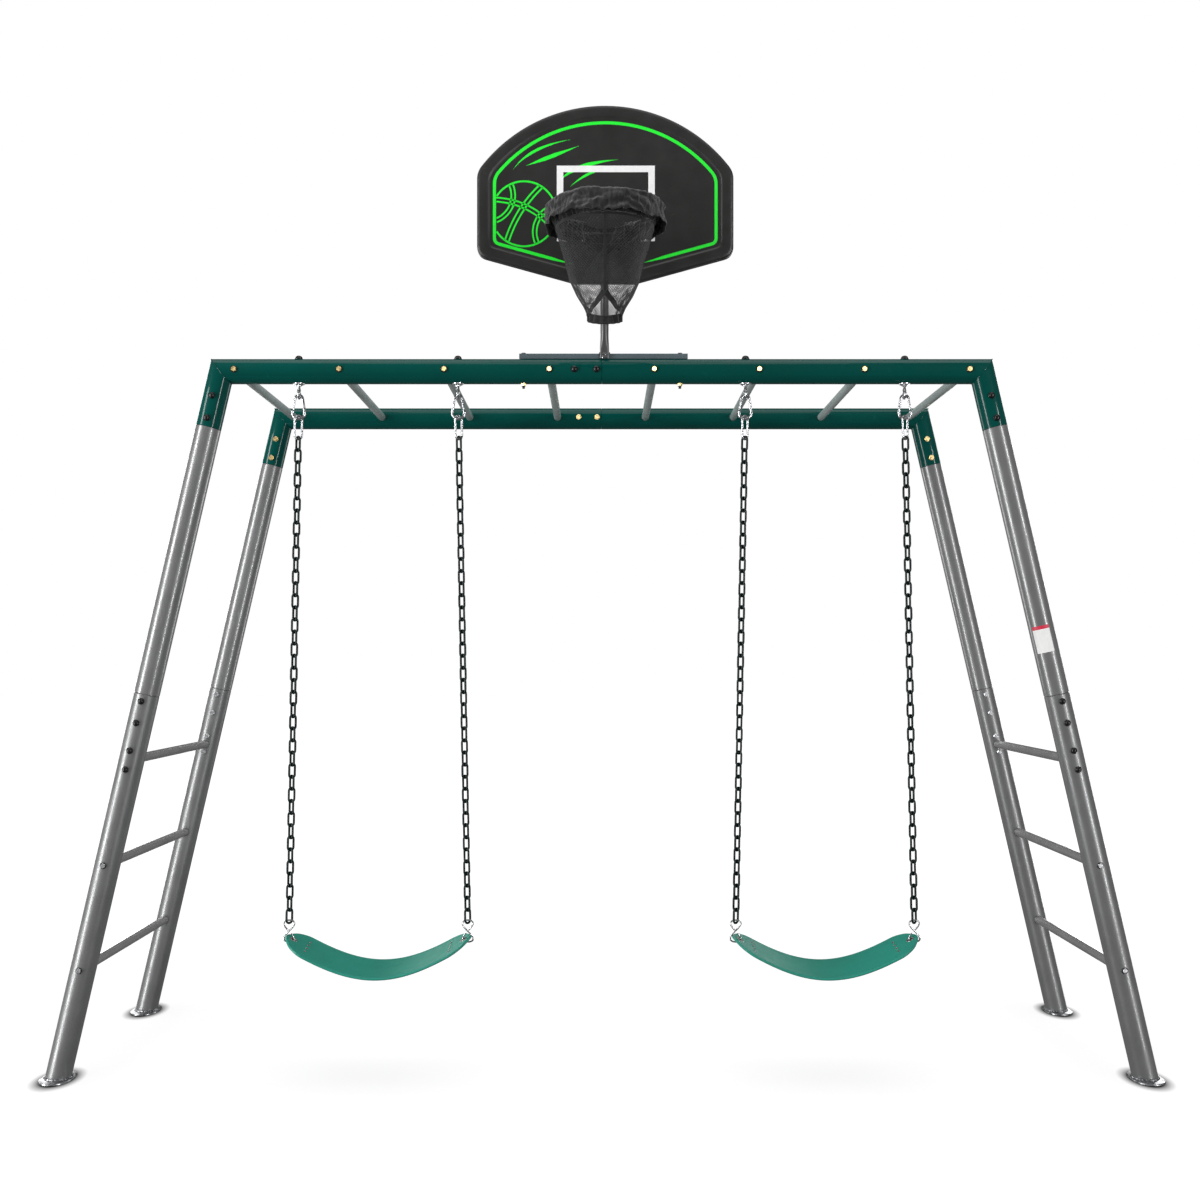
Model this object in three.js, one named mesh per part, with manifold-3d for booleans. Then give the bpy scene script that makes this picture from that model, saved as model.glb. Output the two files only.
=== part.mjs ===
import * as THREE from 'three';
import { mergeVertices } from 'three/addons/utils/BufferGeometryUtils.js';
import Module from 'manifold-3d';

// Outdoor play frame: two trapezoid tube frames joined by monkey-bar rungs and ladder rungs,
// with two belt swings on chains and a small basketball hoop above the front beam.
// Units are millimetres, +Z is up and the hoop faces -Y. The origin is on the ground.

const GAP = 0.3;
const LINK_SLACK = 1.5;
const OVERCUT = 5;

// Main frame
const TUBE_RADIUS = 35.5;
const TUBE_WALL = 2;
const TUBE_SIDES = 16;
const SPIGOT_RADIUS = TUBE_RADIUS - TUBE_WALL - 0.35;
const FRAME_DEPTH = 730;
const BEAM_HEIGHT = 2037;
const CORNER_X = 1095;
const FOOT_X = 1566.5;
const ELBOW_LENGTH = 166;
const ELBOW_SPIGOT = 110;
const LEG_JOINT_HEIGHT = 1109;
const LEG_SPIGOT = 110;
const BEAM_SLEEVE = 95;
const PLUG_LENGTH = 30;
const PLUG_STEP = 2;
const PLATE_LENGTH = 133;
const PLATE_WIDTH = 89;
const PLATE_THICKNESS = 6;

// Rungs
const MONKEY_RADIUS = 12.5;
const MONKEY_PITCH = 300;
const MONKEY_COUNT = 8;
const LADDER_RADIUS = 13.5;
const LADDER_HEIGHTS = [320, 620, 920];
const RUNG_WALL = 1.8;
const RUNG_SIDES = 12;
const RUNG_STOP = 8;

// Hoop
const BAR_LENGTH = 484;
const BAR_WIDTH = 24;
const BAR_HEIGHT = 15;
const BAR_WALL = 3;
const BAR_CENTER_X = 5;
const BAR_TOP = 2087;
const BAR_BOLT_X = 225;
const BAR_BOLT_HEAD = 7.5;
const BAR_BOLT_HEAD_HEIGHT = 6;
const BOLT_TAIL = 14;
const POLE_RADIUS = 12;
const POLE_X = 8;
const POLE_OFFSET = 9;
const POLE_FLAT = 7;
const POLE_FLAT_SPREAD = 1.1;
const POLE_FLAT_RISE = 10;
const POLE_ROUND_RISE = 45;
const POLE_WALL = 2;
const POLE_TOP = 2620;
const BOARD_X = 10;
const BOARD_TOP = 2786;
const BOARD_HEIGHT = 505;
const BOARD_HALF_WIDTH = 365.5;
const BOARD_ARC = 448;
const BOARD_SLOPE = THREE.MathUtils.degToRad(15.4);
const BOARD_FLAT = 85;
const BOARD_SHOULDER = 19;
const BOARD_CORNER = 27;
const BOARD_DEPTH = 26;
const BOARD_SKIN = 4;
const BOARD_WALL = 12;
const BOARD_SPINE = 70;
const BOARD_BAND = 12;
const BOARD_BAND_LEVEL = 0.52;
const BOARD_BEVEL = 5;
const RIM_REACH = 225;
const RIM_HEIGHT = 2405;
const RIM_RADIUS = 145;
const RIM_WIRE = 6;
const RIM_PLATE = [104, 3, 56];
const RIM_PLATE_DROP = 16;
const RIM_ARM = [10, 6];
const RIM_ARM_X = 35;
const SLEEVE_RADIUS = 156.5;
const SLEEVE_INNER = 133.5;
const SLEEVE_BOTTOM = 2376;
const SLEEVE_TOP = 2434;
const SLEEVE_CLOTH = 2.5;
const SLEEVE_GAP = [106, 80, 80];
const NET_CLOTH = 2.5;
const NET_PROFILE = [[133, 2375.5], [108, 2287], [94, 2232], [56, 2160], [46, 2123]];
const NET_EXIT_TOP = 2192;
const NET_HEM_TOP = 2143;
const NET_EXIT_HALF = 43;

// Swings
const SWING_CENTER = 643;
const HANGER_SPACING = 458;
const CHAIN_SPREAD = 28.5;
const EYE_HEIGHT = 1971;
const EYE_RADIUS = 10;
const EYE_WIRE = 4;
const HOOK_WIRE = 4;
const HOOK_TOP_RADIUS = 11;
const HOOK_BOTTOM_RADIUS = 17.5;
const HOOK_HEIGHT = 68;
const GATE_RADIUS = 3.4;
const LINK_WIRE = 3.25;
const TOP_LINK_RADIUS = 12;
const TOP_LINK_HEIGHT = 67.5;
const CHAIN_LINKS = 40;
const CHAIN_LINK_RADIUS = 9.25;
const CHAIN_CORE = 4.6;
const S_WIRE = 2.3;
const S_TOP = 1513.5;
const S_HALF_HEIGHT = 31.5;
const S_HALF_WIDTH = 15;
const S_OFFSET = 2.6;
const S_START = 0.56;
const S_TURN = 1.92;
const S_STEPS = 24;
const SEAT_WIDTH = 160;
const SEAT_NOSE = 62;
const SEAT_TAPER = 62;
const SEAT_THICKNESS = 6.5;
const SEAT_SAG = 100;
const SEAT_HALF_SPAN = 266;
const SEAT_HOLE_RADIUS = 7;
const SEAT_HOLE_INSET = 20;
const SEAT_TIP_HEIGHT = 411.5;
const SEAT_PIVOT_HEIGHT = 398;
const SEAT_PITCH = THREE.MathUtils.degToRad(7);
const SEAT_SEGMENTS = 26;
const SEAT_HOLE_LENGTH = 40;

// The hoop reaches further forward than the feet reach back, so the frame sits behind the origin.
const MIDDLE_Y = (RIM_REACH + SLEEVE_RADIUS - PLATE_LENGTH / 2) / 2;
const FRONT_Y = MIDDLE_Y - FRAME_DEPTH / 2;
const REAR_Y = MIDDLE_Y + FRAME_DEPTH / 2;
const BOARD_BACK_Y = FRONT_Y - POLE_OFFSET - POLE_RADIUS - GAP;
const BOARD_FRONT_Y = BOARD_BACK_Y - BOARD_DEPTH;
const RIM_Y = FRONT_Y - RIM_REACH;

const LEG_RUN = FOOT_X - CORNER_X;
const LEG_LENGTH = Math.hypot(LEG_RUN, BEAM_HEIGHT);
const LEG_COS = BEAM_HEIGHT / LEG_LENGTH;
const LEG_SIN = LEG_RUN / LEG_LENGTH;

const wasm = await Module();
wasm.setup();

const swingSet = new THREE.Group();

const COLORS = {
  greenPaint: [0x00443b, 0.3, 0.2],
  greyPaint: [0x7f8182, 0.45, 0.4],
  rungPaint: [0x8a9c9a, 0.35, 0.5],
  barPaint: [0x576367, 0.45, 0.4],
  polePaint: [0x505050, 0.45, 0.4],
  zinc: [0xc9ccd0, 0.3, 0.9],
  boardPlastic: [0x2b2a29, 0.6, 0.0],
  cloth: [0x151515, 0.9, 0.0],
  chainCoat: [0x0a3b33, 0.4, 0.1],
  seatRubber: [0x057567, 0.6, 0.0],
};

function addMesh(name, geometry, finish, parent = swingSet) {
  const [color, roughness, metalness] = COLORS[finish];
  const mesh = new THREE.Mesh(geometry, new THREE.MeshStandardMaterial({ color, roughness, metalness }));
  mesh.name = name;
  parent.add(mesh);
  return mesh;
}

// Joins and cuts

function toManifold(geometry) {
  const bare = geometry.clone();
  bare.deleteAttribute('normal');
  bare.deleteAttribute('uv');
  const merged = mergeVertices(bare, 1e-4);
  const solid = new wasm.Mesh({
    numProp: 3,
    vertProperties: new Float32Array(merged.attributes.position.array),
    triVerts: new Uint32Array(merged.index.array),
  });
  return new wasm.Manifold(solid);
}

function toGeometry(manifold) {
  const mesh = manifold.getMesh();
  const geometry = new THREE.BufferGeometry();
  geometry.setAttribute('position', new THREE.BufferAttribute(mesh.vertProperties, 3));
  geometry.setIndex(new THREE.BufferAttribute(mesh.triVerts, 1));
  return geometry;
}

function join(first, ...others) {
  let solid = toManifold(first);
  for (const other of others) solid = solid.add(toManifold(other));
  return toGeometry(solid);
}

function cut(first, ...tools) {
  let solid = toManifold(first);
  for (const tool of tools) solid = solid.subtract(toManifold(tool));
  return toGeometry(solid);
}

function overlap(first, second) {
  return toGeometry(toManifold(first).intersect(toManifold(second)));
}

// Basic shapes

function block(x, y, z, centerX, centerY, centerZ) {
  return new THREE.BoxGeometry(x, y, z).translate(centerX, centerY, centerZ);
}

function barAlongY(radius, y0, y1, x, z, sides = RUNG_SIDES) {
  return new THREE.CylinderGeometry(radius, radius, y1 - y0, sides).translate(x, (y0 + y1) / 2, z);
}

function barAlongZ(radius, z0, z1, x, y, sides = 8) {
  const bar = new THREE.CylinderGeometry(radius, radius, z1 - z0, sides);
  return bar.rotateX(Math.PI / 2).translate(x, y, (z0 + z1) / 2);
}

function ring(outer, inner) {
  const shape = new THREE.Shape();
  shape.absarc(0, 0, outer, 0, Math.PI * 2);
  const hole = new THREE.Path();
  hole.absarc(0, 0, inner, 0, Math.PI * 2);
  shape.holes.push(hole);
  return shape;
}

const UNIT_OUTER = 1;
const UNIT_INNER = 0.5;

// A hollow tube through stations. A station has its place, its outer and inner radius, and the
// vectors that its section's two directions take; "across" lies in the XZ plane.
function tubeThrough(stations, sides = TUBE_SIDES) {
  const steps = stations.length - 1;
  const level = new THREE.Vector3(0, 1, 0);
  const middle = (UNIT_OUTER + UNIT_INNER) / 2;
  const geometry = new THREE.ExtrudeGeometry(ring(UNIT_OUTER, UNIT_INNER), {
    depth: steps, steps, bevelEnabled: false, curveSegments: sides / 2,
  });
  const place = geometry.attributes.position;
  for (let i = 0; i < place.count; i += 1) {
    const station = stations[Math.round(place.getZ(i))];
    const reach = Math.hypot(place.getX(i), place.getY(i));
    const radius = reach > middle ? station.outer : station.inner;
    const point = station.at.clone();
    point.addScaledVector(station.across, place.getX(i) / reach * radius);
    point.addScaledVector(station.side ?? level, place.getY(i) / reach * radius);
    place.setXYZ(i, point.x, point.y, point.z);
  }
  return geometry;
}

// The "across" vector of a tube that runs along a direction in the XZ plane.
function acrossOf(direction) {
  return new THREE.Vector3(direction.z, 0, -direction.x);
}

function mitreOf(first, second) {
  return first.clone().add(second).divideScalar(1 + first.dot(second));
}

function wireAlong(curve, radius, steps, sides = 6) {
  const section = new THREE.Shape();
  section.absarc(0, 0, radius, 0, Math.PI * 2);
  return new THREE.ExtrudeGeometry(section, { extrudePath: curve, steps, curveSegments: sides / 2 });
}

// A closed oval link in the XZ plane; height is measured along its centre line.
function ovalLink(radius, wire, height, centerZ) {
  const link = new THREE.TorusGeometry(radius, wire, 6, 12).rotateZ(Math.PI / 12).rotateX(Math.PI / 2);
  const place = link.attributes.position;
  const straight = height / 2 - radius;
  for (let i = 0; i < place.count; i += 1) {
    const z = place.getZ(i);
    place.setZ(i, z + Math.sign(z) * straight + centerZ);
  }
  return link;
}

// Frame: beams, legs and rungs

function legDirection(side) {
  return new THREE.Vector3(side * LEG_SIN, 0, -LEG_COS);
}

function legPoint(side, y, distance) {
  return new THREE.Vector3(side * CORNER_X, y, BEAM_HEIGHT).addScaledVector(legDirection(side), distance);
}

function legX(side, height) {
  return side * (FOOT_X - LEG_RUN * height / BEAM_HEIGHT);
}

function monkeyX(index) {
  return (index - (MONKEY_COUNT - 1) / 2) * MONKEY_PITCH;
}

// A rung runs into both tubes and ends a little short of their centre lines.
function rungEnd(y) {
  return y - Math.sign(y - MIDDLE_Y) * RUNG_STOP;
}

function rungHole(radius, x, y, z) {
  const inward = Math.sign(MIDDLE_Y - y);
  const far = y + inward * (TUBE_RADIUS + OVERCUT);
  return barAlongY(radius + GAP, Math.min(y, far), Math.max(y, far), x, z);
}

function beamHalf(side, y) {
  const along = new THREE.Vector3(side, 0, 0);
  const beamAcross = acrossOf(along);
  const legAcross = acrossOf(legDirection(side));
  const outer = TUBE_RADIUS;
  const inner = TUBE_RADIUS - TUBE_WALL;
  const sleeveInner = SPIGOT_RADIUS - TUBE_WALL;
  const at = (x) => new THREE.Vector3(x, y, BEAM_HEIGHT);
  const stations = [];
  if (side > 0) {
    const sleeve = { across: beamAcross, outer: SPIGOT_RADIUS, inner: sleeveInner };
    const plug = { across: beamAcross, outer, inner: sleeveInner };
    stations.push({ at: at(-BEAM_SLEEVE), ...sleeve });
    stations.push({ at: at(GAP / 2), ...sleeve });
    stations.push({ at: at(GAP), ...plug });
    stations.push({ at: at(PLUG_LENGTH), ...plug });
    stations.push({ at: at(PLUG_LENGTH + PLUG_STEP), across: beamAcross, outer, inner });
  } else {
    stations.push({ at: at(-GAP / 2), across: beamAcross, outer, inner });
  }
  stations.push({ at: at(side * CORNER_X), across: mitreOf(beamAcross, legAcross), outer, inner });
  stations.push({ at: legPoint(side, y, ELBOW_LENGTH), across: legAcross, outer, inner });
  const holes = [];
  for (let i = 0; i < MONKEY_COUNT; i += 1) {
    const x = monkeyX(i);
    if (x * side > 0) holes.push(rungHole(MONKEY_RADIUS, x, y, BEAM_HEIGHT));
  }
  if (y < MIDDLE_Y) {
    const low = BEAM_HEIGHT - TUBE_RADIUS - OVERCUT;
    const high = BEAM_HEIGHT + TUBE_RADIUS + OVERCUT;
    for (const x of [hangerX(side, 1), hangerX(side, -1), side * BAR_BOLT_X]) {
      holes.push(barAlongZ(EYE_WIRE + GAP, low, high, x, y));
    }
  }
  return cut(tubeThrough(stations), ...holes);
}

function upperLeg(side, y) {
  const across = acrossOf(legDirection(side));
  const outer = TUBE_RADIUS;
  const inner = TUBE_RADIUS - TUBE_WALL;
  const bore = SPIGOT_RADIUS - TUBE_WALL;
  const top = ELBOW_LENGTH + 2 * GAP;
  const bottom = (BEAM_HEIGHT - LEG_JOINT_HEIGHT) / LEG_COS;
  const station = (distance, outerRadius, innerRadius) => (
    { at: legPoint(side, y, distance), across, outer: outerRadius, inner: innerRadius });
  return tubeThrough([
    station(top - ELBOW_SPIGOT, SPIGOT_RADIUS, bore),
    station(top - GAP / 2, SPIGOT_RADIUS, bore),
    station(top, outer, bore),
    station(top + 2 * PLUG_STEP, outer, inner),
    station(bottom - 2 * PLUG_STEP, outer, inner),
    station(bottom, outer, bore),
    station(bottom + GAP / 2, SPIGOT_RADIUS, bore),
    station(bottom + LEG_SPIGOT, SPIGOT_RADIUS, bore),
  ]);
}

function footPlate(x, y) {
  const straight = (PLATE_LENGTH - PLATE_WIDTH) / 2;
  const outline = new THREE.Shape();
  outline.absarc(0, straight, PLATE_WIDTH / 2, 0, Math.PI);
  outline.absarc(0, -straight, PLATE_WIDTH / 2, Math.PI, Math.PI * 2);
  const plate = new THREE.ExtrudeGeometry(outline, {
    depth: PLATE_THICKNESS, bevelEnabled: false, curveSegments: 6,
  });
  return plate.translate(x, y, 0);
}

function lowerLeg(side, y) {
  const direction = legDirection(side);
  const across = acrossOf(direction);
  const level = new THREE.Vector3(across.x, 0, 0).divideScalar(across.x * across.x);
  const outer = TUBE_RADIUS;
  const inner = TUBE_RADIUS - TUBE_WALL;
  const top = (BEAM_HEIGHT - LEG_JOINT_HEIGHT) / LEG_COS + GAP * 1.5;
  const bottom = (BEAM_HEIGHT - PLATE_THICKNESS + 1) / LEG_COS;
  const tube = tubeThrough([
    { at: legPoint(side, y, top), across, outer, inner },
    { at: legPoint(side, y, bottom), across: level, outer, inner },
  ]);
  const holes = LADDER_HEIGHTS.map((height) => rungHole(LADDER_RADIUS, legX(side, height), y, height));
  return join(cut(tube, ...holes), footPlate(side * FOOT_X, y));
}

function rung(radius, x, z) {
  const rod = new THREE.ExtrudeGeometry(ring(radius, radius - RUNG_WALL), {
    depth: rungEnd(REAR_Y) - rungEnd(FRONT_Y), bevelEnabled: false, curveSegments: RUNG_SIDES / 2,
  });
  return rod.rotateX(Math.PI / 2).rotateY(Math.PI / 2).translate(x, rungEnd(REAR_Y), z);
}

// Hoop: bracket bar, pole, board, rim, sleeve and net

function bracketBar() {
  const half = BAR_WIDTH / 2;
  const section = new THREE.Shape();
  section.moveTo(-half, -BAR_HEIGHT);
  section.lineTo(-half + BAR_WALL, -BAR_HEIGHT);
  section.lineTo(-half + BAR_WALL, -BAR_WALL);
  section.lineTo(half - BAR_WALL, -BAR_WALL);
  section.lineTo(half - BAR_WALL, -BAR_HEIGHT);
  section.lineTo(half, -BAR_HEIGHT);
  section.lineTo(half, 0);
  section.lineTo(-half, 0);
  section.closePath();
  const bar = new THREE.ExtrudeGeometry(section, { depth: BAR_LENGTH, bevelEnabled: false });
  const turn = new THREE.Matrix4().makeBasis(
    new THREE.Vector3(0, 1, 0), new THREE.Vector3(0, 0, 1), new THREE.Vector3(1, 0, 0));
  bar.applyMatrix4(turn).translate(BAR_CENTER_X - BAR_LENGTH / 2, FRONT_Y, BAR_TOP);
  const holes = [-1, 1].map((side) => (
    barAlongZ(EYE_WIRE + GAP, BAR_TOP - BAR_HEIGHT, BAR_TOP + OVERCUT, side * BAR_BOLT_X, FRONT_Y)));
  return cut(bar, ...holes);
}

function barBolt(side) {
  const x = side * BAR_BOLT_X;
  const headTop = BAR_TOP + BAR_BOLT_HEAD_HEIGHT;
  const head = barAlongZ(BAR_BOLT_HEAD, BAR_TOP + GAP, headTop, x, FRONT_Y, 6);
  const shankTop = headTop - BAR_BOLT_HEAD_HEIGHT / 2;
  const shank = barAlongZ(EYE_WIRE, BEAM_HEIGHT - TUBE_RADIUS - BOLT_TAIL, shankTop, x, FRONT_Y);
  return join(head, shank);
}

// A round pole whose foot is pinched flat against the bar's front flange.
function pole() {
  const flatY = FRONT_Y - BAR_WIDTH / 2 - GAP - POLE_FLAT / 2;
  const roundY = FRONT_Y - POLE_OFFSET;
  const flat = {
    across: new THREE.Vector3(POLE_FLAT_SPREAD, 0, 0),
    side: new THREE.Vector3(0, POLE_FLAT / 2 / POLE_RADIUS, 0),
  };
  const round = { across: new THREE.Vector3(1, 0, 0) };
  const size = { outer: POLE_RADIUS, inner: POLE_RADIUS - POLE_WALL };
  return tubeThrough([
    { at: new THREE.Vector3(POLE_X, flatY, BAR_TOP - BAR_HEIGHT), ...size, ...flat },
    { at: new THREE.Vector3(POLE_X, flatY, BAR_TOP + POLE_FLAT_RISE), ...size, ...flat },
    { at: new THREE.Vector3(POLE_X, roundY, BAR_TOP + POLE_ROUND_RISE), ...size, ...round },
    { at: new THREE.Vector3(POLE_X, roundY, POLE_TOP), ...size, ...round },
  ]);
}

// The board's outline, seen from the front, with its edge moved in by the inset.
function boardOutline(inset) {
  const half = BOARD_HALF_WIDTH - inset;
  const arc = BOARD_ARC - inset;
  const arcZ = BOARD_TOP - BOARD_ARC;
  const bottom = BOARD_TOP - BOARD_HEIGHT + inset;
  const flat = BOARD_FLAT;
  const lowZ = bottom + (half - flat) * Math.tan(BOARD_SLOPE);
  const shoulderAngle = Math.acos(half / arc) + BOARD_SHOULDER / arc;
  const shoulderZ = arcZ + Math.sqrt(arc * arc - half * half);
  const run = BOARD_CORNER * Math.cos(BOARD_SLOPE);
  const rise = BOARD_CORNER * Math.sin(BOARD_SLOPE);
  const arcX = arc * Math.cos(shoulderAngle);
  const shape = new THREE.Shape();
  shape.moveTo(flat, bottom);
  shape.lineTo(half - run, lowZ - rise);
  shape.quadraticCurveTo(half, lowZ, half, lowZ + BOARD_CORNER);
  shape.lineTo(half, shoulderZ - BOARD_SHOULDER);
  shape.quadraticCurveTo(half, shoulderZ, arcX, arcZ + arc * Math.sin(shoulderAngle));
  shape.absarc(0, arcZ, arc, shoulderAngle, Math.PI - shoulderAngle);
  shape.quadraticCurveTo(-half, shoulderZ, -half, shoulderZ - BOARD_SHOULDER);
  shape.lineTo(-half, lowZ + BOARD_CORNER);
  shape.quadraticCurveTo(-half, lowZ, -half + run, lowZ - rise);
  shape.lineTo(-flat, bottom);
  shape.closePath();
  return shape;
}

function boardSlab(inset, depth, backY) {
  const slab = new THREE.ExtrudeGeometry(boardOutline(inset), {
    depth, bevelEnabled: false, curveSegments: 5,
  });
  return slab.rotateX(Math.PI / 2).translate(BOARD_X, backY, 0);
}

function backboard() {
  const plain = boardSlab(0, BOARD_DEPTH - BOARD_BEVEL, BOARD_BACK_Y);
  const faceDepth = BOARD_BEVEL + 1;
  const face = boardSlab(BOARD_BEVEL, faceDepth, BOARD_FRONT_Y + faceDepth);
  const pocketDepth = BOARD_DEPTH - BOARD_SKIN;
  const middleZ = BOARD_TOP - BOARD_HEIGHT * BOARD_BAND_LEVEL;
  const pockets = [];
  for (const side of [-1, 1]) {
    for (const level of [-1, 1]) {
      const inside = boardSlab(BOARD_WALL, pocketDepth + OVERCUT, BOARD_BACK_Y + OVERCUT);
      const width = BOARD_HALF_WIDTH;
      const x = BOARD_X + side * (BOARD_SPINE / 2 + width / 2);
      const z = middleZ + level * (BOARD_HEIGHT + BOARD_BAND) / 2;
      const quarter = block(width, 4 * BOARD_DEPTH, BOARD_HEIGHT, x, BOARD_BACK_Y, z);
      pockets.push(overlap(inside, quarter));
    }
  }
  return cut(join(plain, face), ...pockets);
}

function hoopRim() {
  const hoop = new THREE.TorusGeometry(RIM_RADIUS, RIM_WIRE, 8, 32).translate(POLE_X, RIM_Y, RIM_HEIGHT);
  const plateY = BOARD_FRONT_Y - GAP - RIM_PLATE[1] / 2;
  const plate = block(...RIM_PLATE, POLE_X, plateY, RIM_HEIGHT - RIM_PLATE_DROP);
  const arms = [-RIM_ARM_X, RIM_ARM_X].map((x) => {
    const ringY = RIM_Y + Math.sqrt(RIM_RADIUS ** 2 - x ** 2);
    return block(RIM_ARM[0], plateY - ringY, RIM_ARM[1], POLE_X + x, (plateY + ringY) / 2, RIM_HEIGHT);
  });
  return join(hoop, plate, ...arms);
}

function lathe(points, sides) {
  const profile = points.map(([radius, height]) => new THREE.Vector2(radius, height));
  profile.push(profile[0].clone());
  return new THREE.LatheGeometry(profile, sides).rotateX(Math.PI / 2).translate(POLE_X, RIM_Y, 0);
}

// Cloth folded over the rim, open underneath, with a gap at the back for the rim's arms.
function rimSleeve() {
  const outer = SLEEVE_RADIUS;
  const inner = SLEEVE_INNER;
  const band = lathe([
    [outer, SLEEVE_BOTTOM], [outer, SLEEVE_TOP], [inner, SLEEVE_TOP], [inner, SLEEVE_BOTTOM],
    [inner + SLEEVE_CLOTH, SLEEVE_BOTTOM], [inner + SLEEVE_CLOTH, SLEEVE_TOP - SLEEVE_CLOTH],
    [outer - SLEEVE_CLOTH, SLEEVE_TOP - SLEEVE_CLOTH], [outer - SLEEVE_CLOTH, SLEEVE_BOTTOM],
  ], 32);
  return cut(band, block(...SLEEVE_GAP, POLE_X, RIM_Y + RIM_RADIUS, RIM_HEIGHT));
}

function hoopNet() {
  const outside = NET_PROFILE.slice().reverse();
  const inside = NET_PROFILE.map(([radius, height]) => [radius - NET_CLOTH, height]);
  const shell = lathe([...outside, ...inside], 24);
  const exit = new THREE.Shape();
  exit.moveTo(-NET_EXIT_HALF, NET_HEM_TOP);
  exit.lineTo(NET_EXIT_HALF, NET_HEM_TOP);
  exit.lineTo(0, NET_EXIT_TOP);
  exit.closePath();
  const opening = new THREE.ExtrudeGeometry(exit, { depth: RIM_REACH, bevelEnabled: false });
  opening.rotateX(Math.PI / 2).translate(POLE_X, RIM_Y, 0);
  return cut(shell, opening);
}

// Swings: each hanging line is built straight down from its eye and then leans to the seat.

const HOOK_TOP = -(EYE_RADIUS - EYE_WIRE - HOOK_WIRE - GAP);
const HOOK_BOTTOM = HOOK_TOP - HOOK_HEIGHT;
const TOP_LINK_TOP = HOOK_BOTTOM + HOOK_WIRE + LINK_WIRE + LINK_SLACK;
const TOP_LINK_BOTTOM = TOP_LINK_TOP - TOP_LINK_HEIGHT;
const CHAIN_TOP = TOP_LINK_BOTTOM + 2 * LINK_WIRE + 0.6;
const CHAIN_BOTTOM = -S_TOP - LINK_WIRE - S_WIRE - 2 * LINK_SLACK;
const CHAIN_PITCH = (CHAIN_TOP - CHAIN_BOTTOM - 2 * LINK_WIRE) / CHAIN_LINKS;
const CHAIN_LINK_HEIGHT = CHAIN_PITCH + 2 * LINK_WIRE;

function hangerX(side, way) {
  return side * SWING_CENTER + side * way * HANGER_SPACING / 2;
}

function eyeBolt() {
  const eye = new THREE.TorusGeometry(EYE_RADIUS, EYE_WIRE, 8, 14).rotateY(Math.PI / 2);
  const shankTop = BEAM_HEIGHT + TUBE_RADIUS + BOLT_TAIL - EYE_HEIGHT;
  return join(eye, barAlongZ(EYE_WIRE, EYE_RADIUS, shankTop, 0, 0));
}

// The hook's centre line is two arcs joined by tangents, open on one side for the gate.
function hookTangent() {
  const topZ = HOOK_TOP - HOOK_TOP_RADIUS;
  const bottomZ = HOOK_BOTTOM + HOOK_BOTTOM_RADIUS;
  const tilt = Math.asin((HOOK_BOTTOM_RADIUS - HOOK_TOP_RADIUS) / (topZ - bottomZ));
  const side = new THREE.Vector3(Math.cos(tilt), 0, Math.sin(tilt));
  const upper = new THREE.Vector3(0, 0, topZ).addScaledVector(side, HOOK_TOP_RADIUS);
  const lower = new THREE.Vector3(0, 0, bottomZ).addScaledVector(side, HOOK_BOTTOM_RADIUS);
  return { topZ, bottomZ, tilt, upper, lower };
}

const GATE_START = 0.06;
const GATE_END = 0.84;
const GATE_HINGE_GAP = 2;
const GATE_NOSE_GAP = 0.5;
const HOOK_STEPS = 20;

function snapHook() {
  const { topZ, bottomZ, tilt, upper, lower } = hookTangent();
  const start = lower.clone().lerp(upper, GATE_START);
  const nose = lower.clone().lerp(upper, GATE_END);
  const outline = new THREE.Path();
  outline.moveTo(start.x, start.z);
  outline.absarc(0, bottomZ, HOOK_BOTTOM_RADIUS, tilt, Math.PI - tilt, true);
  outline.absarc(0, topZ, HOOK_TOP_RADIUS, Math.PI - tilt, tilt, true);
  outline.lineTo(nose.x, nose.z);
  const points = outline.getSpacedPoints(HOOK_STEPS).map((point) => new THREE.Vector3(point.x, 0, point.y));
  return wireAlong(new THREE.CatmullRomCurve3(points), HOOK_WIRE, HOOK_STEPS);
}

function snapGate() {
  const { upper, lower } = hookTangent();
  const span = lower.distanceTo(upper);
  const start = lower.clone().lerp(upper, GATE_START + GATE_HINGE_GAP / span);
  const end = lower.clone().lerp(upper, GATE_END - GATE_NOSE_GAP / span);
  return wireAlong(new THREE.LineCurve3(start, end), GATE_RADIUS, 1, 8);
}

function topLink() {
  const middle = (TOP_LINK_TOP + TOP_LINK_BOTTOM) / 2;
  const link = ovalLink(TOP_LINK_RADIUS, LINK_WIRE, TOP_LINK_HEIGHT, middle);
  return link.rotateZ(Math.PI / 4);
}

// The end links are true ovals; a plain core stands for the links between them.
function chain() {
  const half = CHAIN_LINK_HEIGHT / 2;
  const first = ovalLink(CHAIN_LINK_RADIUS, LINK_WIRE, CHAIN_LINK_HEIGHT, CHAIN_TOP - half);
  const last = ovalLink(CHAIN_LINK_RADIUS, LINK_WIRE, CHAIN_LINK_HEIGHT, CHAIN_BOTTOM + half);
  const core = barAlongZ(CHAIN_CORE, CHAIN_BOTTOM + CHAIN_LINK_HEIGHT - LINK_WIRE,
    CHAIN_TOP - CHAIN_LINK_HEIGHT + LINK_WIRE, 0, 0);
  return join(first.rotateZ(-Math.PI / 4), core, last.rotateZ(Math.PI / 4));
}

// A figure of eight in one wire: its two ends nearly meet where the loops cross.
function sHook() {
  const middle = -S_TOP - S_HALF_HEIGHT;
  const points = [];
  for (let i = 0; i <= S_STEPS; i += 1) {
    const turn = Math.PI * (S_START + S_TURN * i / S_STEPS);
    const x = S_HALF_WIDTH * Math.sin(2 * turn);
    const z = middle + S_HALF_HEIGHT * Math.cos(turn);
    points.push(new THREE.Vector3(x, S_OFFSET * Math.sin(turn), z));
  }
  return wireAlong(new THREE.CatmullRomCurve3(points), S_WIRE, S_STEPS);
}

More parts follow.
